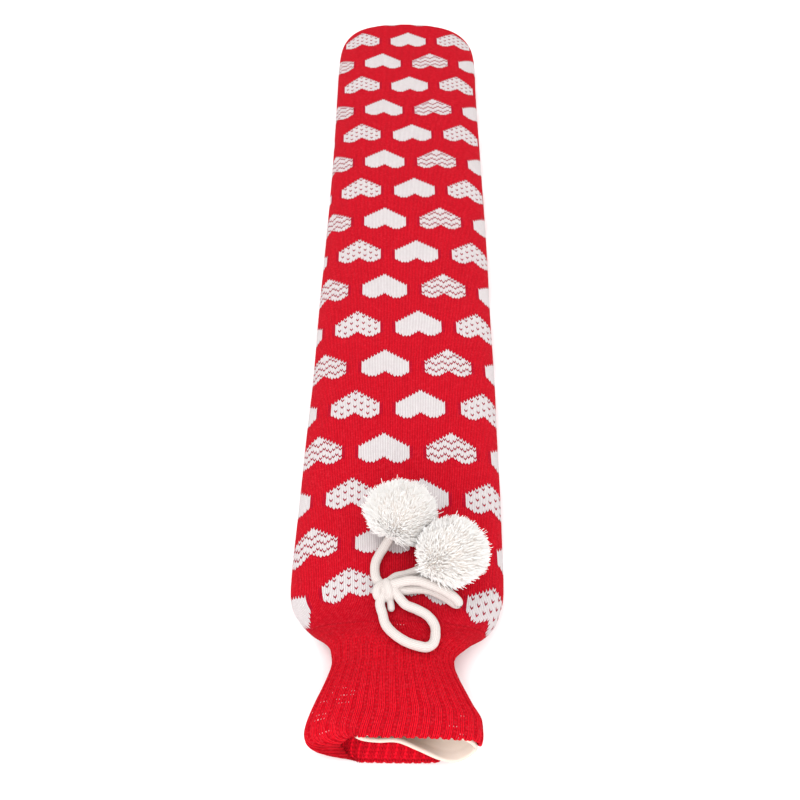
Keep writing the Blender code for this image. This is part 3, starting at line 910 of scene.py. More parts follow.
@dataclass(frozen=True)
class CreamRubber:
    """Soft natural rubber, a little mottled, in which some light spreads."""

    name: str = "cream_rubber"
    pale: Colour = (0.655, 0.56, 0.49)
    # the darker cream of the rubber's mottle
    dark_mottle_and_cord_shade: Colour = (0.61, 0.50, 0.42)
    mottle_scale: float = 60.0
    grain_scale: float = 1400.0
    grain_depth: float = 0.00003
    rough: float = 0.42
    rough_spread: float = 0.12
    glow: float = 0.15
    glow_reach: Colour = (1.0, 0.6, 0.4)
    glow_scale: float = 0.002

    def make(self) -> bpy.types.Material:
        """The rubber: two creams mottled, with a fine grain.

        Returns:
            The material.
        """
        book = Book(self.name)
        mottle = book.noise(book.place(), self.mottle_scale, 4.0)
        grain = book.noise(book.place(), self.grain_scale)
        colour = book.mix(mottle, self.dark_mottle_and_cord_shade, self.pale)
        return book.finish({"Base Color": colour, "Roughness": self.rough + grain * self.rough_spread,
                            "Subsurface Weight": self.glow, "Subsurface Radius": self.glow_reach,
                            "Subsurface Scale": self.glow_scale},
                           grain, self.grain_depth)


@dataclass(frozen=True)
class CordWeave:
    """Soft tubular knit of white yarn, whose small legs slant both ways round the cord."""

    name: str = "cord_weave"
    white: Colour = (0.65, 0.60, 0.57)
    # the cord's white in painted shade, between its threads
    dark_mottle_and_cord_shade: Colour = (0.41, 0.33, 0.31)
    wales: int = 8
    lit: float = 0.45               # painted light: at least, by the relief, and by the fibres
    lit_relief: float = 0.50
    lit_fibre: float = 0.12
    look: KnitLook = KnitLook(slant=1.5, floor=0.5, relief=0.00030, fibre_scale=2400.0, fibre_share=0.2,
                              rough=0.85, halo=0.2, halo_rough=0.5, halo_tint=(1.0, 1.0, 1.0), shine=0.25)

    def make(self) -> bpy.types.Material:
        """The cord: painted light on its threads and painted shade between them.

        Returns:
            The material.
        """
        book = Book(self.name)
        around, along = book.map_uv(STITCH_MAP)
        stitch = self.look.stitch(around * self.wales, along)
        # painted light on the threads and painted shade between them
        light = stitch.height * self.lit_relief + self.lit + self.look.fibre(book) * self.lit_fibre
        colour = book.mix(light.at_most(1.0), self.dark_mottle_and_cord_shade, self.white)
        return self.look.finish(book, colour, stitch.height)


@dataclass(frozen=True)
class FluffyYarn:
    """Cut ends of white yarn, with painted shade that makes them warmer and darker towards their roots."""

    name: str = "fluffy_yarn"
    # painted warm shade deep in the ball, lightening to the tips
    root: Colour = (0.885, 0.775, 0.705)
    middle: Colour = (0.900, 0.850, 0.805)
    tip: Colour = (0.905, 0.880, 0.855)
    places: tuple[float, float, float] = (0.84, 0.92, 0.99)     # of these colours, out of 1 at the surface
    warm: Colour = (0.90, 0.82, 0.76)       # what some strands lean to
    warm_share: float = 0.10
    rough: float = 0.9
    shine: float = 0.1
    glow: float = 0.35
    glow_reach: Colour = (1.0, 0.9, 0.8)
    glow_scale: float = 0.003

    def make(self) -> bpy.types.Material:
        """The yarn: a ramp of painted shade from its roots to its tips, some strands warmer.

        Returns:
            The material.
        """
        book = Book(self.name)
        strand, along = book.map_uv(STRAND_MAP)
        stops = tuple(zip(self.places, (self.root, self.middle, self.tip)))
        ramp = book.node("ShaderNodeValToRGB", {"stops": stops}, {0: along})
        colour = book.mix(strand * self.warm_share, ramp, self.warm)
        return book.finish({"Base Color": colour, "Roughness": self.rough,
                            "Specular IOR Level": self.shine,
                            "Subsurface Weight": self.glow, "Subsurface Radius": self.glow_reach,
                            "Subsurface Scale": self.glow_scale})


@dataclass(frozen=True)
class PaleFloor:
    """A plain pale floor, faintly clouded."""

    name: str = "pale_floor"
    pale: Colour = (0.97, 0.97, 0.97)
    cloud: Colour = (0.90, 0.90, 0.90)
    cloud_share: float = 0.04
    cloud_scale: float = 1.5
    rough: float = 0.9

    def make(self) -> bpy.types.Material:
        """The floor: faint clouds on the pale colour.

        Returns:
            The material.
        """
        book = Book(self.name)
        clouds = book.noise(book.place(), self.cloud_scale, 1.0)
        colour = book.mix(clouds * self.cloud_share, self.pale, self.cloud)
        return book.finish({"Base Color": colour, "Roughness": self.rough})


# ---- The knitted cover


class BodyRow(NamedTuple):
    """The body's plan and height at one place along it."""

    y: float
    half_width: float
    centre_x: float
    top: float


class SlipRow(NamedTuple):
    """How many knit rows the stretched cloth has slipped to its far end, at one place along it."""

    y: float
    far_left: float
    left: float
    middle: float
    right: float
    far_right: float


class NeckRow(NamedTuple):
    """The neck's section at one place along it, and how far it is tucked in at the left."""

    y: float
    half_width: float
    centre_x: float
    low: float
    top: float
    power: float
    tuck: float


@dataclass
class Cover:
    """The knitted cover: the heart-knit body and the ribbed neck, which share one shape at their joint."""

    wales: int = 128                # round the body
    wale_pitch: float = 0.00227
    row_pitch: float = 0.00156
    twist: float = 0.0247           # sideways run of a wale for each length along the cover
    twist_middle: float = 0.0266
    wale_offset: float = -0.25
    slip_turns: tuple[float, ...] = (-100.0, -55.0, 0.0, 59.0, 100.0)   # where the slips hold, in degrees
    far_end: float = 0.3772
    joint: float = -0.2993
    round_start: float = 0.2987
    end_powers: tuple[float, float] = (4.4, 3.9)
    end_nose: float = 0.015
    end_rings: int = 70
    fewest_end_rings: int = 8
    mid_z: float = 0.014
    sag: float = 0.0165
    power_top: float = 2.2
    power_low: float = 2.6
    body_wall: float = 0.0028
    body_around: int = 256
    body_step: float = 0.0028
    inner_coarser: int = 5          # how much coarser the body's inner face is along its length
    ribs: int = 40
    rib_crowding: float = 0.7       # ribs that the lower layer has drawn from each side of the upper one
    rib_phase: float = 0.2          # from a rib's first point to the start of its first wale
    rib_depth: float = 0.00080
    rib_dip: float = 0.30           # between a rib's two wales
    rib_dip_width: float = 0.07
    trough_width: float = 0.13
    rib_fade: float = 0.018         # length from the joint in which the ribs rise
    rib_points: int = 12
    neck_rings: int = 109
    inner_rib: float = 0.0007
    neck_wall: float = 0.0026
    join_blend: float = 0.012       # length from the joint in which the body's section ends
    join_floor: float = 0.0002      # how much lower the body's section may lie there
    scallop: float = 0.0014
    scallop_run: float = 0.0040     # how far from the edge the scallops begin
    low_scallop: float = 0.25       # how much of a scallop the lower layer has
    scallop_heights: tuple[float, float] = (0.004, 0.020)      # between the lower and the upper layer
    lower_lip: float = 0.0036
    lower_lip_end: float = 0.5
    lower_corner_in: float = 0.0046
    lower_corner_back: float = 0.0084
    right_back: float = 0.0012      # how far the rim's right end draws back
    tuck_start: float = 0.34        # the hollow at the left: from here to the left, in half widths
    tuck_in: float = 0.0010
    tuck_bulge: float = 0.0150
    tuck_floor: float = 0.0070
    tuck_droop: float = 0.60
    pull: float = 0.0300            # how far the left end is pulled to the right
    pull_start: float = 0.3
    pull_powers: tuple[float, float] = (1.15, 2.5)      # how it grows across the rim, and to the edge
    pull_upper: float = 0.22        # how much less the upper layer is pulled

    body_rows = (
        BodyRow(-0.2993, 0.0546, 0.0005, 0.0314),
        BodyRow(-0.2953, 0.0591, 0.0003, 0.0317),
        BodyRow(-0.2903, 0.0626, -0.0001, 0.0320),
        BodyRow(-0.2843, 0.0655, -0.0010, 0.0323),
        BodyRow(-0.2763, 0.0678, -0.0009, 0.0326),
        BodyRow(-0.2633, 0.0687, -0.0007, 0.0329),
        BodyRow(-0.2363, 0.0688, -0.0004, 0.0332),
        BodyRow(-0.2063, 0.0688, 0.0001, 0.0330),
        BodyRow(-0.1763, 0.0686, 0.0004, 0.0333),
        BodyRow(-0.1413, 0.0684, 0.0006, 0.0338),
        BodyRow(-0.0963, 0.0681, 0.0014, 0.0335),
        BodyRow(-0.0313, 0.0679, 0.0010, 0.0339),
        BodyRow(0.0487, 0.0677, 0.0014, 0.0334),
        BodyRow(0.1387, 0.0671, 0.0011, 0.0338),
        BodyRow(0.2137, 0.0670, 0.0003, 0.0333),
        BodyRow(0.2637, 0.0672, -0.0004, 0.0330),
        BodyRow(0.2987, 0.0676, -0.0006, 0.0328),
    )
    slip_rows = (
        SlipRow(-0.300, -2.8, 6.5, 14.5, 2.0, -2.0),
        SlipRow(-0.272, -3.6, 5.6, 8.2, 1.7, -0.5),
        SlipRow(-0.245, 0.0, 3.0, 2.8, 1.2, 1.0),
        SlipRow(-0.205, 1.0, 1.0, 0.0, 1.2, 1.5),
        SlipRow(-0.130, 0.3, -0.2, -1.2, 1.2, 2.0),
        SlipRow(-0.050, 0.8, 0.2, -0.6, 1.9, 3.0),
        SlipRow(0.030, 3.8, 3.0, 0.9, 3.8, 4.8),
        SlipRow(0.110, 4.4, 3.8, 1.8, 5.1, 6.4),
        SlipRow(0.190, 5.4, 4.2, 1.1, 5.6, 7.0),
        SlipRow(0.260, 4.6, 3.4, 0.0, 5.2, 6.8),
        SlipRow(0.340, 3.6, 2.4, -1.1, 3.6, 5.0),
        SlipRow(0.356, 3.6, 2.4, -1.2, 3.6, 5.0),
        SlipRow(0.372, 3.6, 0.4, -3.2, 1.6, 5.0),
    )
    neck_rows = (
        NeckRow(-0.2996, 0.0543, 0.0005, 0.0002, 0.0314, 2.3, 0.0),
        NeckRow(-0.3038, 0.0477, 0.0003, 0.0005, 0.0311, 2.3, 0.0),
        NeckRow(-0.3093, 0.0422, -0.0002, 0.0015, 0.0316, 2.3, 0.0),
        NeckRow(-0.3153, 0.0383, -0.0022, 0.0020, 0.0320, 2.3, 0.0),
        NeckRow(-0.3223, 0.0375, -0.0024, 0.0020, 0.0320, 2.3, 0.0),
        NeckRow(-0.3303, 0.0399, -0.0022, 0.0015, 0.0326, 2.4, 0.0),
        NeckRow(-0.3383, 0.0432, -0.0018, 0.0009, 0.0334, 2.5, 0.0),
        NeckRow(-0.3473, 0.0473, -0.0015, 0.0006, 0.0341, 2.6, 0.02),
        NeckRow(-0.3553, 0.0512, -0.0010, 0.0004, 0.0347, 2.7, 0.12),
        NeckRow(-0.3622, 0.0532, -0.0022, 0.0003, 0.0352, 2.8, 0.34),
        NeckRow(-0.3674, 0.0543, -0.0034, 0.0003, 0.0352, 2.9, 0.62),
        NeckRow(-0.3696, 0.0543, -0.0040, 0.0003, 0.0349, 2.9, 0.84),
        NeckRow(-0.3707, 0.0542, -0.0044, 0.0003, 0.0346, 2.9, 1.0),
    )

    def body_read(self, name: str, y: Any) -> Array:
        """One column of the body's table at y."""
        return smooth_through(column(self.body_rows, "y"), column(self.body_rows, name),
                              np.minimum(y, self.round_start))

    def neck_read(self, name: str, y: Any) -> Array:
        """One column of the neck's table at y."""
        rows = self.neck_rows[::-1]
        return smooth_through(column(rows, "y"), column(rows, name), y)

    def body_oval(self, y: float, inset: float = 0.0) -> Oval:
        """The body's section at y.

        Past the start of the rounding the plan's half width is a superellipse on either side, and the
        thickness closes as a quarter circle over the nose.

        Args:
            y: place along the cover.
            inset: how far inside the outer face.

        Returns:
            The section.
        """
        end = self.far_end - inset
        half_width, centre_x, top = (float(self.body_read(name, y)[0])
                                     for name in ("half_width", "centre_x", "top"))
        plan = min(max(y - self.round_start, 0) / (end - self.round_start), 1)
        nose = min(max(y - (end - self.end_nose), 0) / self.end_nose, 1)
        left, right = ((half_width - inset) * (1 - plan**power) ** (1 / power)
                       for power in self.end_powers)
        share = math.sqrt(1 - nose**2)
        return Oval(max((left + right) / 2, 1e-9), centre_x + (right - left) / 2,
                    self.mid_z - (self.sag - inset) * share, self.mid_z,
                    self.mid_z + (top - inset - self.mid_z) * share,
                    self.power_top, self.power_low, inset)

    def neck_oval(self, y: float) -> Oval:
        """The neck's section through the crests of its ribs.

        Args:
            y: place along the cover.

        Returns:
            The section.
        """
        half_width, centre_x, low, top, power = (
            float(self.neck_read(name, y)[0])
            for name in ("half_width", "centre_x", "low", "top", "power"))
        return Oval(half_width, centre_x, low, (low + top) / 2, top, power, power, low)

    def top_at(self, x: float, y: float) -> float:
        """Height of the knit's upper face at (x, y)."""
        return (self.body_oval(y) if y > self.joint else self.neck_oval(y)).height(x)

    def body_grid(self, inset: float, around: int, step: float) -> tuple[Array, Array]:
        """One face of the body, from its rim at the neck to the tip of its far end.

        Args:
            inset: how far inside the outer face.
            around: points round each ring.
            step: distance between rings.

        Returns:
            The rings, and their map in wales and rows.
        """
        end = self.far_end - inset
        straight = np.linspace(self.joint, self.round_start,
                               int((self.round_start - self.joint) / step) + 1)
        power = sum(self.end_powers) / 2
        rings_round = int(self.end_rings * self.body_step / step) + self.fewest_end_rings
        turn = np.linspace(0, math.pi / 2, rings_round)[1:]
        rounded = self.round_start + (end - self.round_start) * np.sin(turn) ** (2 / power)
        places = np.concatenate([straight, rounded])
        ovals = [self.body_oval(y, inset) for y in places]
        rings = np.stack([oval.ring(around) for oval in ovals])
        grid = np.stack([rings[..., 0], np.broadcast_to(places[:, None], rings.shape[:2]),
                         rings[..., 1]], axis=-1)
        return grid, self.body_map(grid, places, ovals)

    def body_map(self, grid: Array, places: Array, ovals: list[Oval]) -> Array:
        """Wales and rows of the body's face.

        Along the straight part the wales share each ring evenly, from the middle of the top, and turn
        slowly round the cover.  Past the start of the rounding a place has the wale that lies at its x
        in the last straight ring, on its own side, so that the wales run straight into the end's seam.
        Rows follow the length along the top.

        Args:
            grid: the rings.
            places: their places along the cover.
            ovals: their sections.

        Returns:
            The map as [row][point round + 1][wale, row].
        """
        around = grid.shape[1]
        share = np.arange(around + 1) / around - 0.5
        wale = np.broadcast_to(-share * self.wales, (len(places), around + 1)).copy()
        wrapped = np.concatenate([grid, grid[:, :1]], axis=1)
        base = int(np.searchsorted(places, self.round_start + MERGE_GAP)) - 1
        ring = wrapped[base, :, 0]
        quarter = around // 4
        upper = slice(quarter + 1, 3 * quarter + 1)
        lower = (slice(0, quarter + 1), slice(3 * quarter + 1, around + 1))
        for side in (upper, *lower):
            order = np.argsort(ring[side])
            x, own = ring[side][order], wale[base, side][order]
            wale[base + 1:, side] = np.interp(wrapped[base + 1:, side, 0], x, own)
        slip = self.slip(places, 2 * math.pi * wale / self.wales)
        wale = wale - (self.twist * (self.twist_middle - places) / self.wale_pitch)[:, None]
        heights = np.array([oval.top for oval in ovals])
        run = run_along(np.stack([places, heights], axis=-1))
        start = np.interp(self.twist_middle, places, run)
        row = (run - start + self.twist_middle) / self.row_pitch
        return np.stack([wale + self.wale_offset, row[:, None] - slip], axis=-1)

    def slip(self, places: Array, turns: Array) -> Array:
        """Rows that the cloth has slipped.

        Round a ring it is a smooth curve through the table's five values and, at the back, the mean of
        the two outer ones.  The curve is a sum of each value times its own share of a ring.

        Args:
            places: places along the cover.
            turns: turns round it from the middle of the top, as [place][point round].

        Returns:
            Rows, in the shape of the turns.
        """
        knots = np.radians([-180.0, *self.slip_turns, 180.0])
        names = ("far_left", "left", "middle", "right", "far_right")
        values = [smooth_through(column(self.slip_rows, "y"), column(self.slip_rows, name), places)
                  for name in names]
        back = (values[0] + values[-1]) / 2
        total = np.zeros_like(turns)
        for share, value in zip(np.eye(len(knots)), [back, *values, back]):
            total += value[:, None] * smooth_through(knots, share, turns.ravel()).reshape(turns.shape)
        return total

    def crests(self, around: int, rows: int) -> tuple[Array, Array]:
        """The face through the crests of the neck's ribs.

        The section goes over softly from the body's to the neck's own.  Along the last rows the lower
        lip reaches further out than the upper one and its right corner is rounded in.  At the left the
        cloth droops, stands out and then turns in to the right.

        Args:
            around: points round each ring.
            rows: rings along the neck.

        Returns:
            The rings, and the place of each along the neck's table.
        """
        knots = np.array(column(self.neck_rows, "y"))
        knots[0] = self.joint
        places = smooth_through(np.arange(len(knots)), knots, np.linspace(0, len(knots) - 1, rows))
        rings = []
        for y in places:
            y_read = min(y, self.neck_rows[0].y)
            own = self.neck_oval(y_read)
            like_body = own._replace(low=self.mid_z - self.sag, mid=self.mid_z, power_top=self.power_top,
                                     power_low=self.power_low,
                                     floor=max(own.low - self.join_floor, 0))
            blend = float(ease((self.joint - y) / self.join_blend))
            if y > self.neck_rows[0].y:
                like_body = self.body_oval(self.joint)
            rings.append(like_body.ring(around) * (1 - blend) + own.ring(around) * blend)
        rings = np.array(rings)
        x, z = rings[..., 0], rings[..., 1]
        y = np.broadcast_to(places[:, None], x.shape)
        read = np.minimum(places, self.neck_rows[0].y)
        centre, half, low, top, tuck = (self.neck_read(name, read)[:, None]
                                        for name in ("centre_x", "half_width", "low", "top", "tuck"))
        mid = (low + top) / 2
        side = (x - centre) / half
        weight = ease((-side - self.tuck_start) / (1 - self.tuck_start))
        right = ease((side - self.lower_lip_end) / (1 - self.lower_lip_end))
        lower = np.clip((mid - z) / (mid - low), 0, 1)
        upper = (z - low) / (top - low)
        turn_in = self.tuck_in * tuck**4 * upper - self.tuck_bulge * tuck * (1 - tuck)
        reach = self.lower_lip * (1 - right) - self.lower_corner_back * right
        y = y + weight * turn_in + (self.right_back * right**3 - reach * lower) * tuck
        pull = np.clip((-side - self.pull_start) / (1 - self.pull_start), 0, 1) ** self.pull_powers[0]
        pull = pull * np.maximum(tuck, 0) ** self.pull_powers[1] * (1 - self.pull_upper * upper)
        x = x + self.pull * pull - self.lower_corner_in * lower * right * tuck
        z = z - np.maximum(z - self.tuck_floor, 0) * self.tuck_droop * weight * tuck
        return np.stack([x, y, z], axis=-1), places

    def rib_height(self, phase: Array) -> Array:
        """A rib's height round it: two rounded wales and a trough.

        Args:
            phase: place in the rib from 0 to 1, with the trough past two thirds.

        Returns:
            Heights from 0 in the trough to 1 on the wales.
        """
        dip = self.rib_dip * np.exp(-((phase - 1 / 3) / self.rib_dip_width) ** 2)
        from_trough = np.abs((phase - 5 / 6 + 0.5) % 1 - 0.5)
        return 1 - dip - np.exp(-(from_trough / self.trough_width) ** 2)

    def make_body(self, material: bpy.types.Material) -> bpy.types.Object:
        """The heart-knit body as one closed shell: outer face, rim and inner face.

        Args:
            material: its finish.

        Returns:
            The piece.
        """
        outer, outer_map = self.body_grid(0.0, self.body_around, self.body_step)
        inner, _ = self.body_grid(self.body_wall, self.body_around, self.body_step * self.inner_coarser)
        grid = np.concatenate([outer[::-1], inner])
        uv = np.concatenate([outer_map[::-1], np.repeat(outer_map[:1], len(inner), axis=0)])
        shell = Shell(STITCH_MAP)
        shell.add(grid, uv)
        return shell.build("heart_cloth", material)

    def make_neck(self, material: bpy.types.Material) -> bpy.types.Object:
        """The ribbed neck as one closed shell, with raised ribs outside and in and a scalloped edge.

        The map's rows run from 0 at the joint to -RIB_ROWS at the edge, and on to twice that at the
        inner side's end.

        Args:
            material: its finish.

        Returns:
            The piece.
        """
        around = self.ribs * self.rib_points
        crests, places = self.crests(around, self.neck_rings)
        normal = outward_from_end(crests)
        share = np.arange(around + 1) / around
        rib_u = self.ribs * share + self.rib_crowding * np.sin(2 * math.pi * share) + self.rib_phase
        rib = self.rib_height(rib_u[:-1] % 1)[None, :, None]
        grown = ease((self.joint - places) / self.rib_fade)[:, None, None]
        outer = crests - normal * (self.rib_depth * (1 - rib) * grown)
        inner = crests - normal * (self.neck_wall - self.inner_rib * rib * grown)
        edge = ease((places[-1] + self.scallop_run - places) / self.scallop_run)
        low, high = self.scallop_heights
        up = np.clip((crests[-1, :, 2] - low) / (high - low), self.low_scallop, 1)
        scallops = self.scallop * edge[:, None] * (rib[..., 0] * up)
        outer[..., 1] -= scallops
        inner[..., 1] -= scallops
        run = run_along(outer[:, around // 2])
        run = run / run[-1] * RIB_ROWS
        uv = np.stack(np.broadcast_arrays(rib_u[None, :], -run[:, None]), axis=-1)
        lip = self.rounded_lip(outer[-1], inner[-1], outer[-1] - outer[-2])
        lip_map = np.repeat(uv[-1:], len(lip), axis=0)
        back = inner[::-2]
        back_map = uv[::-2] * (1, -1) - (0, 2 * RIB_ROWS)
        shell = Shell(STITCH_MAP)
        shell.add(np.concatenate([outer, lip, back, outer[:1]]),
                  np.concatenate([uv, lip_map, back_map, back_map[-1:]]))
        return shell.build("rib_cloth", material)

    @staticmethod
    def rounded_lip(outer: Array, inner: Array, onward: Array, steps: int = 5) -> Array:
        """Rings over an edge, as a half circle from the outer ring to the inner one.

        Args:
            outer: the outer face's last ring.
            inner: the inner face's last ring.
            onward: the outer face's run there.
            steps: rings between.

        Returns:
            The rings.
        """
        turn = (np.arange(1, steps + 1) / (steps + 1) * math.pi)[:, None, None]
        middle, spoke = (outer + inner) / 2, (outer - inner) / 2
        size = np.linalg.norm(spoke, axis=-1, keepdims=True)
        return middle + np.cos(turn) * spoke + np.sin(turn) * size * unit(onward)


# ---- The bottle's mouth


class MouthRow(NamedTuple):
    """The rubber mouth's section at one place along it."""

    y: float
    half_width: float
    centre_x: float
    centre_z: float
    half_height: float
    wall: float


class LipPoint(NamedTuple):
    """A point of the funnel's rim, by its turn in degrees from the right end."""

    turn: float
    x: float
    y: float
    z: float


@dataclass
class RubberMouth:
    """The bottle's rubber mouth: a short tube that opens into a flattened funnel with a beaded lip."""

    around: int = 160
    rows_between: int = 10
    rows_at_lip: int = 30
    lip_rings: int = 7
    lip_wall: float = 0.0028
    groove_place: float = 0.0050    # from the lip's edge
    groove_width: float = 0.0012
    groove_depth: float = 0.00012

    mouth_rows = (
        MouthRow(-0.3133, 0.0120, -0.0026, 0.0170, 0.0120, 0.0030),
        MouthRow(-0.3233, 0.0124, -0.0026, 0.0170, 0.0120, 0.0030),
        MouthRow(-0.3323, 0.0170, -0.0018, 0.0172, 0.0122, 0.0028),
        MouthRow(-0.3413, 0.0235, 0.0006, 0.0177, 0.0122, 0.0025),
        MouthRow(-0.3513, 0.0306, 0.0042, 0.0185, 0.0121, 0.0022),
        MouthRow(-0.3603, 0.0349, 0.0079, 0.0192, 0.0118, 0.0020),
    )
    lip_points = (
        LipPoint(0, 0.0474, -0.3698, 0.0170),
        LipPoint(28, 0.0408, -0.3683, 0.0250),
        LipPoint(60, 0.0294, -0.3675, 0.0304),
        LipPoint(90, 0.0102, -0.3673, 0.0313),
        LipPoint(120, -0.0090, -0.3673, 0.0300),
        LipPoint(152, -0.0200, -0.3677, 0.0266),
        LipPoint(180, -0.0238, -0.3680, 0.0224),
        LipPoint(208, -0.0190, -0.3692, 0.0196),
        LipPoint(236, -0.0098, -0.3698, 0.0186),
        LipPoint(258, 0.0012, -0.3699, 0.0190),
        LipPoint(276, 0.0127, -0.3725, 0.0146),
        LipPoint(294, 0.0247, -0.3753, 0.0096),
        LipPoint(316, 0.0350, -0.3758, 0.0084),
        LipPoint(338, 0.0438, -0.3728, 0.0118),
    )

    def lip_ring(self, turns: Array) -> Array:
        """The funnel's rim, a closed and smooth curve through its points.

        Args:
            turns: where to read it, in degrees from the right end.

        Returns:
            The points there.
        """
        points = self.lip_points
        rows = [points[-1]._replace(turn=points[-1].turn - 360), *points,
                points[0]._replace(turn=360), points[1]._replace(turn=points[1].turn + 360)]
        knots = column(rows, "turn")
        return np.stack([smooth_through(knots, column(rows, name), turns) for name in "xyz"], axis=-1)

    def outer_face(self) -> tuple[Array, Array]:
        """The outer face from the tube's inner end to the rim: ellipses, then the rim, joined smoothly.

        Returns:
            The rings, and the wall's thickness at each.
        """
        turns = np.arange(self.around) * 360 / self.around
        c, s = np.cos(np.radians(turns)), np.sin(np.radians(turns))
        rings = [np.stack([row.centre_x + row.half_width * c, np.full(self.around, row.y),
                           row.centre_z + row.half_height * s], axis=-1) for row in self.mouth_rows]
        rings.append(self.lip_ring(turns))
        knots = np.arange(len(rings))
        last = len(rings) - 1
        fine = np.concatenate([np.linspace(0, last - 1, (last - 1) * self.rows_between + 1)[:-1],
                               np.linspace(last - 1, last, self.rows_at_lip)])
        flat = np.array(rings).reshape(len(rings), -1)
        grid = np.stack([smooth_through(knots, flat[:, i], fine) for i in range(flat.shape[1])], axis=-1)
        walls = smooth_through(knots, [row.wall for row in self.mouth_rows] + [self.lip_wall], fine)
        return grid.reshape(len(fine), self.around, 3), walls

    def make(self, material: bpy.types.Material) -> bpy.types.Object:
        """The closed shell, with a groove inside the lip that sets off its bead.

        The groove's depth is a bell curve of the distance from the lip's edge.

        Args:
            material: its finish.

        Returns:
            The piece.
        """
        outer, walls = self.outer_face()
        normal = outward_from_end(outer)
        to_lip = np.linalg.norm(outer - outer[-1], axis=-1, keepdims=True)
        groove = self.groove_depth * np.exp(-((to_lip - self.groove_place) / self.groove_width) ** 2)
        inner = outer - normal * (walls[:, None, None] - groove)
        lip = Cover.rounded_lip(outer[-1], inner[-1], outer[-1] - outer[-2], self.lip_rings)
        grid = np.concatenate([outer, lip, inner[::-1], outer[:1]])
        u = np.linspace(0, 1, self.around + 1)
        v = np.linspace(0, 1, len(grid))
        shell = Shell(STITCH_MAP)
        shell.add(grid, np.stack(np.broadcast_arrays(u[None, :], v[:, None]), axis=-1))
        return shell.build("rubber_mouth", material)


# ---- The tie


class RoutePoint(NamedTuple):
    """A point of a cord's route, with its height above the knit's upper face."""

    x: float
    y: float
    lift: float


class KnotTurn(NamedTuple):
    """An arc of an ellipse by its middle, two half axes, and the degrees that it starts and stops at."""

    middle: tuple[float, float, float]
    first: tuple[float, float, float]
    second: tuple[float, float, float]
    start: float
    stop: float


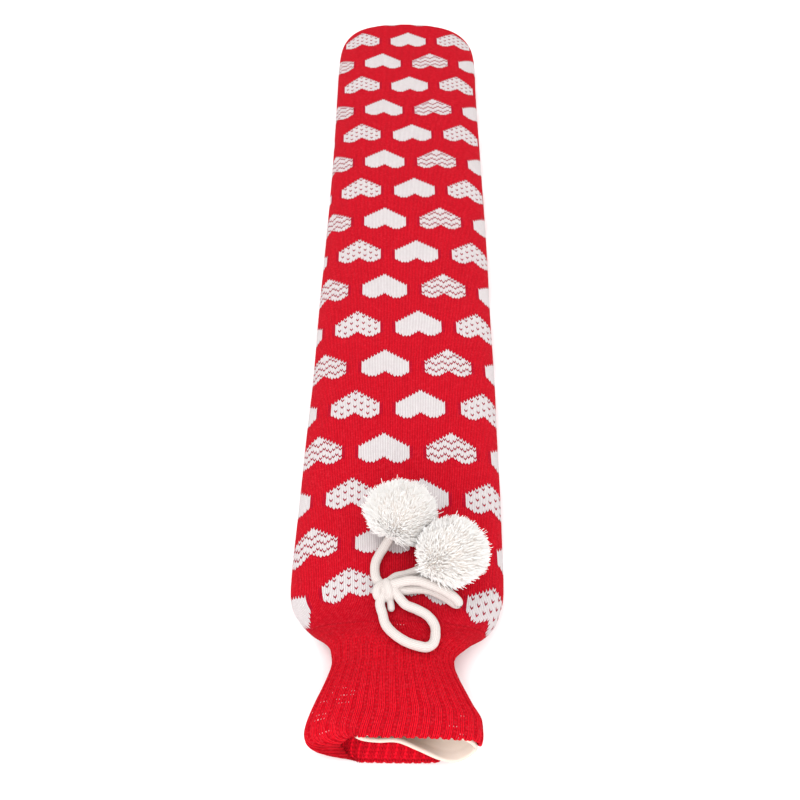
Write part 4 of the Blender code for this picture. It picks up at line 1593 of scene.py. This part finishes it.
@dataclass
class Tie:
    """The soft cord, of two lengths tied in a bow, and its knot."""

    cover: Cover
    diameter: float = 0.0060
    leg_diameter: float = 0.0044    # drawn thin where it leaves the knit
    leg_swell: tuple[float, float] = (0.006, 0.012)     # length along it in which it fills out
    wobble: float = 0.02            # how uneven the cord's radius is, and its waves along the cord
    wobble_turns: tuple[float, float] = (900.0, 370.0)
    rest: float = 0.0035            # a cord's centre above the knit that it lies on
    knot_x: float = -0.0068
    knot_y: float = -0.2809
    knot_radii: tuple[float, float, float] = (0.0070, 0.0068, 0.0053)
    core_share: tuple[float, float, float] = (0.72, 0.72, 0.85)     # of those, under the knot's turns
    core_rings: int = 17
    turn_points: int = 40
    turn_squeeze: float = 0.93      # how thick the cord is in the knot
    sides: int = 24
    step: float = 0.0007
    fine_points: int = 3000
    stitch_length: float = 0.0022

    leg = (
        RoutePoint(-0.0041, -0.2921, -0.0009),
        RoutePoint(-0.0043, -0.2901, -0.0007),
        RoutePoint(-0.0046, -0.2882, -0.0005),
        RoutePoint(-0.0051, -0.2847, 0.0006),
        RoutePoint(-0.0068, -0.2815, 0.0016),
    )
    loop_front = (
        RoutePoint(-0.0088, -0.2837, 0.0020),
        RoutePoint(-0.0110, -0.2899, 0.0012),
        RoutePoint(-0.0094, -0.2962, 0.0006),
        RoutePoint(-0.0072, -0.3031, 0.0),
        RoutePoint(-0.0018, -0.3097, 0.0),
        RoutePoint(0.0056, -0.3147, 0.0),
        RoutePoint(0.0128, -0.3169, 0.0),
        RoutePoint(0.0180, -0.3171, 0.0),
        RoutePoint(0.0217, -0.3141, 0.0),
        RoutePoint(0.0230, -0.3087, 0.0),
        RoutePoint(0.0224, -0.3024, 0.0),
        RoutePoint(0.0182, -0.2967, 0.0),
        RoutePoint(0.0114, -0.2931, 0.0004),
        RoutePoint(0.0050, -0.2907, 0.0010),
        RoutePoint(0.0018, -0.2879, 0.0020),
        RoutePoint(-0.0020, -0.2833, 0.0030),
    )
    tail_left = (
        RoutePoint(-0.0090, -0.2785, 0.0018),
        RoutePoint(-0.0134, -0.2739, 0.0010),
        RoutePoint(-0.0148, -0.2679, 0.0003),
        RoutePoint(-0.0146, -0.2617, 0.0),
        RoutePoint(-0.0124, -0.2557, 0.0),
        RoutePoint(-0.0094, -0.2507, 0.0008),
        RoutePoint(-0.0062, -0.2459, 0.0038),
        RoutePoint(-0.0028, -0.2407, 0.0100),
    )
    loop_right = (
        RoutePoint(-0.0056, -0.2799, 0.0042),
        RoutePoint(0.0010, -0.2780, 0.0052),
        RoutePoint(0.0066, -0.2770, 0.0060),
        RoutePoint(0.0126, -0.2773, 0.0064),
        RoutePoint(0.0184, -0.2790, 0.0067),
        RoutePoint(0.0234, -0.2809, 0.0067),
        RoutePoint(0.0294, -0.2835, 0.0064),
        RoutePoint(0.0338, -0.2859, 0.0057),
        RoutePoint(0.0364, -0.2876, 0.0042),
        RoutePoint(0.0370, -0.2884, 0.0021),
        RoutePoint(0.0350, -0.2874, 0.0003),
        RoutePoint(0.0299, -0.2841, 0.0),
        RoutePoint(0.0235, -0.2810, 0.0),
        RoutePoint(0.0171, -0.2792, 0.0),
        RoutePoint(0.0107, -0.2793, 0.0),
        RoutePoint(0.0055, -0.2803, 0.0003),
        RoutePoint(0.0011, -0.2812, 0.0008),
        RoutePoint(-0.0042, -0.2817, 0.0016),
    )
    tail_right = (
        RoutePoint(-0.0070, -0.2779, 0.0012),
        RoutePoint(-0.0019, -0.2720, 0.0003),
        RoutePoint(0.0044, -0.2700, 0.0002),
        RoutePoint(0.0098, -0.2684, 0.0012),
        RoutePoint(0.0148, -0.2669, 0.0036),
        RoutePoint(0.0188, -0.2657, 0.0070),
        RoutePoint(0.0250, -0.2651, 0.0120),
    )
    knot_turns = (
        KnotTurn((0.0006, 0.0, -0.0012), (-0.0012, 0.0046, 0.0), (0.0, 0.0, 0.0046), -25, 205),
        KnotTurn((-0.0030, -0.0008, -0.0010), (0.0016, 0.0046, 0.0), (-0.0030, 0.0, 0.0026), -15, 195),
        KnotTurn((0.0026, -0.0006, -0.0018), (0.0026, 0.0042, 0.0), (0.0014, -0.0004, 0.0034), -10, 190),
    )

    def line(self, *routes: Sequence[RoutePoint]) -> Array:
        """A smooth line through routes in turn, each point at its height above the knit.

        Args:
            routes: tables of points.

        Returns:
            Points about a step apart.
        """
        points = [point for route in routes for point in route]
        at = np.array([(p.x, p.y, self.cover.top_at(p.x, p.y) + self.rest + p.lift) for p in points])
        knots = run_along(at)
        fine = np.linspace(0, knots[-1], self.fine_points)
        smooth = np.stack([smooth_through(knots, at[:, k], fine) for k in range(3)], axis=-1)
        return even_line(smooth, self.step)

    def knot_centre(self) -> Array:
        """The middle of the knot, which lies on the knit."""
        top = self.cover.top_at(self.knot_x, self.knot_y)
        return np.array([self.knot_x, self.knot_y, top + SEAM_GAP + self.knot_radii[2]])

    def make_cord(self, name: str, line: Array, radius: Array,
                  material: bpy.types.Material) -> bpy.types.Object:
        """A cord's tube along a line, gently uneven: its radius has the product of two sines on it.

        Args:
            name: the piece's name.
            line: the centreline.
            radius: the radius at each point of it.
            material: its finish.

        Returns:
            The piece.
        """
        run = run_along(line)
        fast, slow = self.wobble_turns
        wobble = 1 + self.wobble * np.sin(run * fast) * np.sin(run * slow + 1)
        grid = tube_grid(line, radius * wobble, self.sides)
        shell = Shell(STITCH_MAP)
        shell.add(grid, tube_map(grid, self.stitch_length))
        return shell.build(name, material)

    def cord_front(self, material: bpy.types.Material) -> tuple[bpy.types.Object, Array]:
        """The length that leaves the knit, makes the front loop and ends in the left pompom.

        Args:
            material: its finish.

        Returns:
            The piece, and its centreline.
        """
        line = self.line(self.leg, self.loop_front, self.tail_left)
        start, stop = self.leg_swell
        swell = ease((run_along(line) - start) / (stop - start))
        radius = (self.leg_diameter + (self.diameter - self.leg_diameter) * swell) / 2
        return self.make_cord("tie_cord_front", line, radius, material), line

    def cord_right(self, material: bpy.types.Material) -> tuple[bpy.types.Object, Array]:
        """The length that makes the right loop and ends in the right pompom.

        Args:
            material: its finish.

        Returns:
            The piece, and its centreline.
        """
        line = self.line(self.loop_right, self.tail_right)
        radius = np.full(len(line), self.diameter / 2)
        return self.make_cord("tie_cord_right", line, radius, material), line

    def make_knot(self, material: bpy.types.Material) -> bpy.types.Object:
        """The knot: short turns of cord over a soft core.

        Each turn is an arc of an ellipse, its middle plus the cosine of the turn times one half axis
        plus the sine times the other.

        Args:
            material: the cord's finish.

        Returns:
            The piece.
        """
        centre = self.knot_centre()
        radius = self.diameter / 2 * self.turn_squeeze
        shell = Shell(STITCH_MAP)
        for turn in self.knot_turns:
            a = np.radians(np.linspace(turn.start, turn.stop, self.turn_points))[:, None]
            arc = np.cos(a) * np.array(turn.first) + np.sin(a) * np.array(turn.second)
            line = even_line(centre + np.array(turn.middle) + arc, self.step)
            grid = tube_grid(line, np.full(len(line), radius), self.sides)
            shell.add(grid, tube_map(grid, self.stitch_length))
        core = self.core_grid(centre)
        shell.add(core, tube_map(core, self.stitch_length))
        return shell.build("tie_knot_turns", material)

    def core_grid(self, centre: Array) -> Array:
        """A soft core under the turns: an ellipsoid a little smaller than the knot.

        Args:
            centre: the knot's middle.

        Returns:
            Its rings.
        """
        latitude = np.linspace(-math.pi / 2, math.pi / 2, self.core_rings)[:, None]
        longitude = (np.arange(self.sides) * 2 * math.pi / self.sides)[None, :]
        ball = np.stack(np.broadcast_arrays(np.cos(latitude) * np.cos(longitude),
                                            np.cos(latitude) * np.sin(longitude),
                                            np.sin(latitude)), axis=-1)
        return centre + ball * np.array(self.knot_radii) * self.core_share


# ---- Pompoms


class Tuft(NamedTuple):
    """A direction out of a pompom's middle in which its strands are longer, or drawn in."""

    x: float
    y: float
    z: float
    width: float                    # in radians
    reach: float                    # in radii

    def share(self, out: Array) -> Array:
        """What it adds in each direction: most in its own, and less by the angle from it."""
        own = unit(np.array([self.x, self.y, self.z]))
        return self.reach * np.exp(-(np.arccos(np.clip(out @ own, -1, 1)) / self.width) ** 2)


@dataclass
class Pompom:
    """A ball of cut yarn ends that fan out all round from where its cord comes in."""

    name: str
    cover: Cover
    x: float
    y: float
    entry: Array                    # where its cord comes in
    seed: int
    squash: tuple[float, float, float]      # its reach along each axis, in radii
    dimple: Tuft                    # where the cord draws it in
    tufts: tuple[Tuft, ...]         # longer strands
    radius: float = 0.0228
    seat: float = 0.0195
    gather: float = 0.42            # how far from the middle towards the entry the yarn is tied, in radii
    tie_room: float = 1.5           # how far from the middle the tie reaches, out of that
    start: float = 0.30             # share of a strand's curve that the core hides
    strands: int = 9000
    segments: int = 3
    thickness: float = 0.00034
    thin_root: float = 0.9          # a strand's width at its root and at its tip, of its thickness
    thin_tip: float = 0.6
    uneven: float = 0.5             # how much the strands differ in thickness
    spread: float = 0.045
    spread_limits: tuple[float, float] = (-0.11, 0.09)
    lean: float = 0.075
    bulge: float = 0.22             # how far a strand bows outward, in radii, and how much that differs
    bulge_spread: float = 0.05
    strays: float = 0.04            # share of the strands that stand out of the ball
    stray_reach: float = 0.16
    lump: float = 0.030
    lump_turns: tuple[float, float, float, float] = (5.1, 4.3, 3.7, 6.2)
    cord_room: float = 0.0034
    shortest: float = 0.25          # share of a strand that has to be left beside a cord
    other_room: float = 0.0004
    give: float = 0.9               # how far a strand yields to the other pompom
    lie: float = 0.0006             # height of a strand's middle above the knit that it lies on
    core: float = 0.88
    slanting: tuple[float, float, float] = (0.31, 0.57, 0.76)   # no strand runs this way

    def centre(self) -> Array:
        """The pompom's middle, seated on the knit."""
        return np.array([self.x, self.y, self.cover.top_at(self.x, self.y) + self.seat * self.squash[2]])

    def extent(self, out: Array) -> Array:
        """How far the ball reaches in a direction before it is squashed.

        It is the radius, less the dimple, with low waves: the sum of two products of sines of the
        direction's parts.

        Args:
            out: unit vectors.

        Returns:
            Lengths.
        """
        x, y, z = np.moveaxis(out, -1, 0)
        first, second, third, fourth = self.lump_turns
        waves = (np.sin(first * x + self.seed) * np.sin(second * y + 2 * self.seed)
                 + np.sin(third * z + self.seed) * np.sin(fourth * x - self.seed))
        return self.radius * (1 - self.dimple.share(out) + self.lump * waves)

    def lines(self, other: Array, cords: Array) -> tuple[Array, Array]:
        """The strands' centrelines.

        Tips are spread evenly over the sphere by the golden angle and moved a little at random.  A
        strand is the arc P(t) = (1 - t)^2 tie + 2 t (1 - t) bow + t^2 tip, whose bow is the middle of
        tie and tip pushed outward.  It stops short of the other pompom's half and of the cords, and
        lies down where it meets the knit.

        Args:
            other: the other pompom's middle.
            cords: points along the cords' centrelines.

        Returns:
            Points as [strand][place along][x, y, z], and a random number for each strand.
        """
        rng = np.random.default_rng(self.seed)
        n = self.strands
        k = np.arange(n) + 0.5
        polar = np.arccos(1 - 2 * k / n)
        turn = math.pi * (1 + 5**0.5) * k
        out = np.stack([np.sin(polar) * np.cos(turn), np.sin(polar) * np.sin(turn), np.cos(polar)], -1)
        out = unit(out + rng.normal(0, self.lean, (n, 3)))
        reach = 1 + rng.normal(0, self.spread, n).clip(*self.spread_limits)
        reach = reach + (rng.random(n) < self.strays) * self.stray_reach * rng.random(n)
        centre = self.centre()
        for tuft in self.tufts:
            reach = reach + tuft.share(out) * rng.random(n)
        tie = centre + unit(self.entry - centre) * self.gather * self.radius
        tip = centre + out * (reach * self.extent(out))[:, None] * self.squash
        bow = (tie + tip) / 2 + out * self.bulge * self.radius
        bow = bow + rng.normal(0, self.bulge_spread, (n, 3)) * self.radius
        t = np.linspace(self.start, 1, self.segments + 1)[None, :, None]
        lines = (1 - t)**2 * tie + 2 * t * (1 - t) * bow[:, None] + t**2 * tip[:, None]
        lines = self.above_knit(self.beside(lines, other))
        keep, lines = self.off_cords(lines, cords)
        return lines[keep], rng.random(n)[keep]

    def beside(self, lines: Array, other: Array) -> Array:
        """Pushes what passes the plane midway to the other pompom back to it.

        Args:
            lines: the strands.
            other: the other pompom's middle.

        Returns:
            The strands, moved.
        """
        towards = other - self.centre()
        half = np.linalg.norm(towards) / 2
        towards = towards / (2 * half)
        past = np.maximum((lines - self.centre()) @ towards - half + self.other_room, 0)
        return lines - past[..., None] * towards * self.give

    def above_knit(self, lines: Array) -> Array:
        """Lays what would go into the knit flat on it.

        Args:
            lines: points, with x, y and z along the last axis.

        Returns:
            The points, raised.
        """
        top = self.surface_under(lines)
        lines = lines.copy()
        lines[..., 2] = np.maximum(lines[..., 2], top + self.lie)
        return lines

    def surface_under(self, points: Array) -> Array:
        """Height of the body's upper face, from the section at the pompom's middle.

        Args:
            points: points, with x, y and z along the last axis.

        Returns:
            The height below each point.
        """
        oval = self.cover.body_oval(self.y)
        share = np.clip(np.abs(points[..., 0] - oval.centre_x) / oval.half_width, 0, 1)
        return oval.mid + (oval.top - oval.mid) * (1 - share**oval.power_top) ** (1 / oval.power_top)

    def off_cords(self, lines: Array, cords: Array) -> tuple[Array, Array]:
        """Cuts strands short where they would run into a cord.

        Args:
            lines: the strands.
            cords: points along the cords' centrelines.  Those within the pompom's tie don't count.

        Returns:
            Which strands stay, and all of them, shortened.
        """
        away = np.linalg.norm(cords - self.centre(), axis=-1)
        cords = cords[away > self.radius * self.gather * self.tie_room]
        n, m = lines.shape[:2]
        near = np.linalg.norm(lines - cords[0], axis=-1)
        for place in cords[1:]:
            near = np.minimum(near, np.linalg.norm(lines - place, axis=-1))
        hit = near < self.cord_room
        first = np.where(hit.any(axis=1), hit.argmax(axis=1), m)
        share = np.clip((first - 1) / (m - 1), 0, 1)
        at = np.linspace(0, 1, m)[None, :] * share[:, None] * (m - 1)
        low = np.floor(at).astype(int).clip(0, m - 2)
        part = (at - low)[..., None]
        index = np.arange(n)[:, None]
        cut = lines[index, low] * (1 - part) + lines[index, low + 1] * part
        return share > self.shortest, np.where(hit.any(axis=1)[:, None, None], cut, lines)

    def make(self, other: Array, cords: Array, material: bpy.types.Material) -> bpy.types.Object:
        """The strands as three-sided tapering tubes, round a core that fills the middle.

        Args:
            other: the other pompom's middle.
            cords: points along the cords' centrelines.
            material: the yarn's finish.

        Returns:
            The piece.
        """
        lines, chance = self.lines(other, cords)
        n, m = lines.shape[:2]
        along = unit(np.gradient(lines, axis=1))
        side = unit(np.cross(along, self.slanting))
        rise = np.cross(side, along)
        size = self.thickness * np.linspace(self.thin_root, 1.0, m)
        size = size * (1 + self.uneven * (chance[:, None] - 0.5))
        size[:, -1] *= self.thin_tip
        a = np.radians([90, 210, 330])
        spokes = (np.cos(a)[None, None, :, None] * side[:, :, None]
                  + np.sin(a)[None, None, :, None] * rise[:, :, None])
        points = lines[:, :, None] + size[..., None, None] * spokes
        s, i, j = np.meshgrid(np.arange(n), np.arange(m - 1), np.arange(3), indexing="ij")
        k = (j + 1) % 3
        base = s * m * 3
        quads = np.stack([base + i * 3 + j, base + i * 3 + k, base + (i + 1) * 3 + k,
                          base + (i + 1) * 3 + j], -1).reshape(-1, 4)
        from_middle = (lines - self.centre()) / self.squash
        radial = np.linalg.norm(from_middle, axis=-1) / self.extent(unit(from_middle))
        at = np.stack([radial[s, i], radial[s, i], radial[s, i + 1], radial[s, i + 1]], -1).reshape(-1)
        uv = np.stack([np.repeat(chance, (m - 1) * 3 * 4), at], -1)
        ball, ball_quads = self.core_ball()
        points = np.concatenate([points.reshape(-1, 3), ball])
        quads = np.concatenate([quads, ball_quads + n * m * 3])
        uv = np.concatenate([uv, np.tile((0.5, self.core), (ball_quads.size, 1))])
        mesh = mesh_from(self.name, points, quads, STRAND_MAP, uv)
        work = bmesh.new()
        work.from_mesh(mesh)
        bmesh.ops.holes_fill(work, edges=[edge for edge in work.edges if edge.is_boundary], sides=0)
        work.to_mesh(mesh)
        work.free()
        return object_from(mesh, material)

    def core_ball(self, rings: int = 60, around: int = 96) -> tuple[Array, Array]:
        """The core under the strands' ends: rings from pole to pole, whose ends are filled later.

        Args:
            rings: rings between the poles.
            around: points on each.

        Returns:
            Its points, and its faces' corners.
        """
        polar = (np.arange(rings) + 0.5)[:, None] / rings * math.pi
        turn = np.arange(around)[None, :] / around * 2 * math.pi
        out = np.stack(np.broadcast_arrays(np.sin(polar) * np.cos(turn), np.sin(polar) * np.sin(turn),
                                           np.cos(polar)), axis=-1)
        ball = self.centre() + out * self.extent(out)[..., None] * self.core * self.squash
        i, j = np.meshgrid(np.arange(rings - 1), np.arange(around), indexing="ij")
        k = (j + 1) % around
        quads = np.stack([i * around + j, (i + 1) * around + j, (i + 1) * around + k, i * around + k], -1)
        return self.above_knit(ball).reshape(-1, 3), quads.reshape(-1, 4)


# ---- The studio


@dataclass
class Softbox:
    """A square area light that points at the cover."""

    name: str
    place: tuple[float, float, float]
    aim: tuple[float, float, float]
    size: float
    power: float

    def make(self) -> None:
        """Adds the light."""
        light = bpy.data.lights.new(self.name, "AREA")
        light.shape = "SQUARE"
        light.size = self.size
        light.energy = self.power
        item = bpy.data.objects.new(self.name, light)
        item.matrix_world = look_at(self.place, self.aim)
        bpy.context.scene.collection.objects.link(item)


def pose(right: Array, up: Array, back: Array, place: Sequence[float]) -> Matrix:
    """The matrix of these three axes and this place."""
    rows = np.column_stack([right, up, back, place])
    return Matrix((*(tuple(map(float, row)) for row in rows), (0, 0, 0, 1)))


def look_at(place: Sequence[float], aim: Sequence[float]) -> Matrix:
    """A matrix at a place whose -Z points at the aim.

    Args:
        place: where it stands.
        aim: what it points at.

    Returns:
        The matrix.
    """
    back = unit(np.subtract(place, aim))
    right = unit(np.cross((0.0, 1.0, 0.0), back))
    return pose(right, np.cross(back, right), back, place)


@dataclass
class Studio:
    """The pale floor, the soft light and the camera at the photograph's viewing angle."""

    camera_place: tuple[float, float, float] = (0.00317, -0.59078, 0.6067)
    pitch: float = math.radians(51.0)       # below the horizon
    yaw: float = math.radians(-0.527)
    roll: float = math.radians(0.399)
    focal_pixels: float = 1030.2
    frame_pixels: float = 800.0
    sensor: float = 36.0
    floor_size: float = 8.0
    world_light: float = 1.12

    def make_camera(self) -> None:
        """Adds the camera and makes it the scene's."""
        sin_p, cos_p = math.sin(self.pitch), math.cos(self.pitch)
        forward = np.array([math.sin(self.yaw) * cos_p, math.cos(self.yaw) * cos_p, -sin_p])
        right = np.array([math.cos(self.yaw), -math.sin(self.yaw), 0.0])
        up = np.cross(right, forward)
        sin_r, cos_r = math.sin(self.roll), math.cos(self.roll)
        columns = (right * cos_r + up * sin_r, up * cos_r - right * sin_r, -forward, self.camera_place)
        data = bpy.data.cameras.new("camera")
        data.sensor_width = self.sensor
        data.lens = self.focal_pixels / self.frame_pixels * self.sensor
        item = bpy.data.objects.new("camera", data)
        item.matrix_world = pose(*columns)
        bpy.context.scene.collection.objects.link(item)
        bpy.context.scene.camera = item

    def make_floor(self, material: bpy.types.Material) -> None:
        """Adds the floor just under the cover.

        Args:
            material: its finish.
        """
        half = self.floor_size / 2
        corners = [(-half, -half), (half, -half), (half, half), (-half, half)]
        mesh = bpy.data.meshes.new("floor")
        mesh.from_pydata([(x, y, -SEAM_GAP) for x, y in corners], [], [(0, 1, 2, 3)])
        mesh.materials.append(material)
        item = bpy.data.objects.new("floor", mesh)
        bpy.context.scene.collection.objects.link(item)

    def make_light(self) -> None:
        """Adds the softboxes and the even light of the room."""
        for box in (
            Softbox("key_light", (-0.6, 0.1, 1.8), (0.0, -0.1, 0.0), 1.2, 9.8),
            Softbox("fill_light", (1.1, 0.1, 1.5), (0.0, 0.0, 0.0), 1.4, 4.9),
            Softbox("front_light", (-0.1, -1.5, 0.8), (0.0, -0.1, 0.0), 1.2, 14.6),
        ):
            box.make()
        world = bpy.data.worlds.new("room")
        world.use_nodes = True
        background = world.node_tree.nodes["Background"]
        background.inputs["Color"].default_value = (1.0, 1.0, 1.0, 1.0)
        background.inputs["Strength"].default_value = self.world_light
        bpy.context.scene.world = world
        bpy.context.scene.view_settings.view_transform = "Standard"


def settle(piece: bpy.types.Object, slot: str, *nodes: str) -> bpy.types.Object:
    """Lets a piece ride on the cover and stand for its solids, and reports it.

    Args:
        piece: the finished piece.
        slot: the material slot of its solids; not used.
        nodes: the solids' names.

    Returns:
        The same piece.
    """
    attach(piece, BODY)
    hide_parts(*nodes)
    log.info("%s: %d faces", piece.name, len(piece.data.polygons))
    return piece


def main() -> None:
    """Builds the studio and every piece in order."""
    logging.basicConfig(level=logging.INFO, format="%(name)s: %(message)s")
    studio = Studio()
    studio.make_camera()
    cover = Cover()
    tie = Tie(cover)
    cord_finish = CordWeave().make()
    front, front_line = tie.cord_front(cord_finish)
    right, right_line = tie.cord_right(cord_finish)
    settle(front, "cord", "tie_leg", "tie_loop_front", "tie_tail_left")
    settle(right, "cord", "tie_loop_right", "tie_tail_right")
    knot = settle(tie.make_knot(cord_finish), "cord", "tie_knot")

    cords = np.concatenate([even_line(line, CORD_SAMPLE) for line in (front_line, right_line)])
    yarn = FluffyYarn().make()
    pompoms = [
        Pompom("yarn_pompom_left", cover, 0.0011, -0.2330, front_line[-1], 11, (1.0, 0.94, 0.86),
               Tuft(-0.45, -0.87, -0.25, 0.60, 0.22),
               (Tuft(0.55, -0.70, -0.30, 0.30, 0.20), Tuft(-0.95, 0.10, 0.10, 0.25, 0.14),
                Tuft(-0.80, 0.60, 0.20, 0.20, 0.20))),
        Pompom("yarn_pompom_right", cover, 0.0336, -0.2606, right_line[-1], 23, (1.0, 0.96, 0.93),
               Tuft(0.45, -0.85, -0.45, 0.50, 0.10),
               (Tuft(-0.75, -0.55, -0.35, 0.22, 0.30), Tuft(-0.20, -0.80, -0.40, 0.30, 0.22)))]
    for pompom, node, other in zip(pompoms, ("pompom_left", "pompom_right"), pompoms[::-1]):
        settle(pompom.make(other.centre(), cords, yarn), "yarn", node)

    mouth = settle(RubberMouth().make(CreamRubber().make()), "rubber", "bottle_mouth")
    body = settle(cover.make_body(HeartKnit().make()), "heart_knit", "heart_body")
    neck = settle(cover.make_neck(RibKnit().make()), "rib_knit", "ribbed_neck")

    studio.make_floor(PaleFloor().make())
    studio.make_light()


if __name__ == "__main__":
    main()
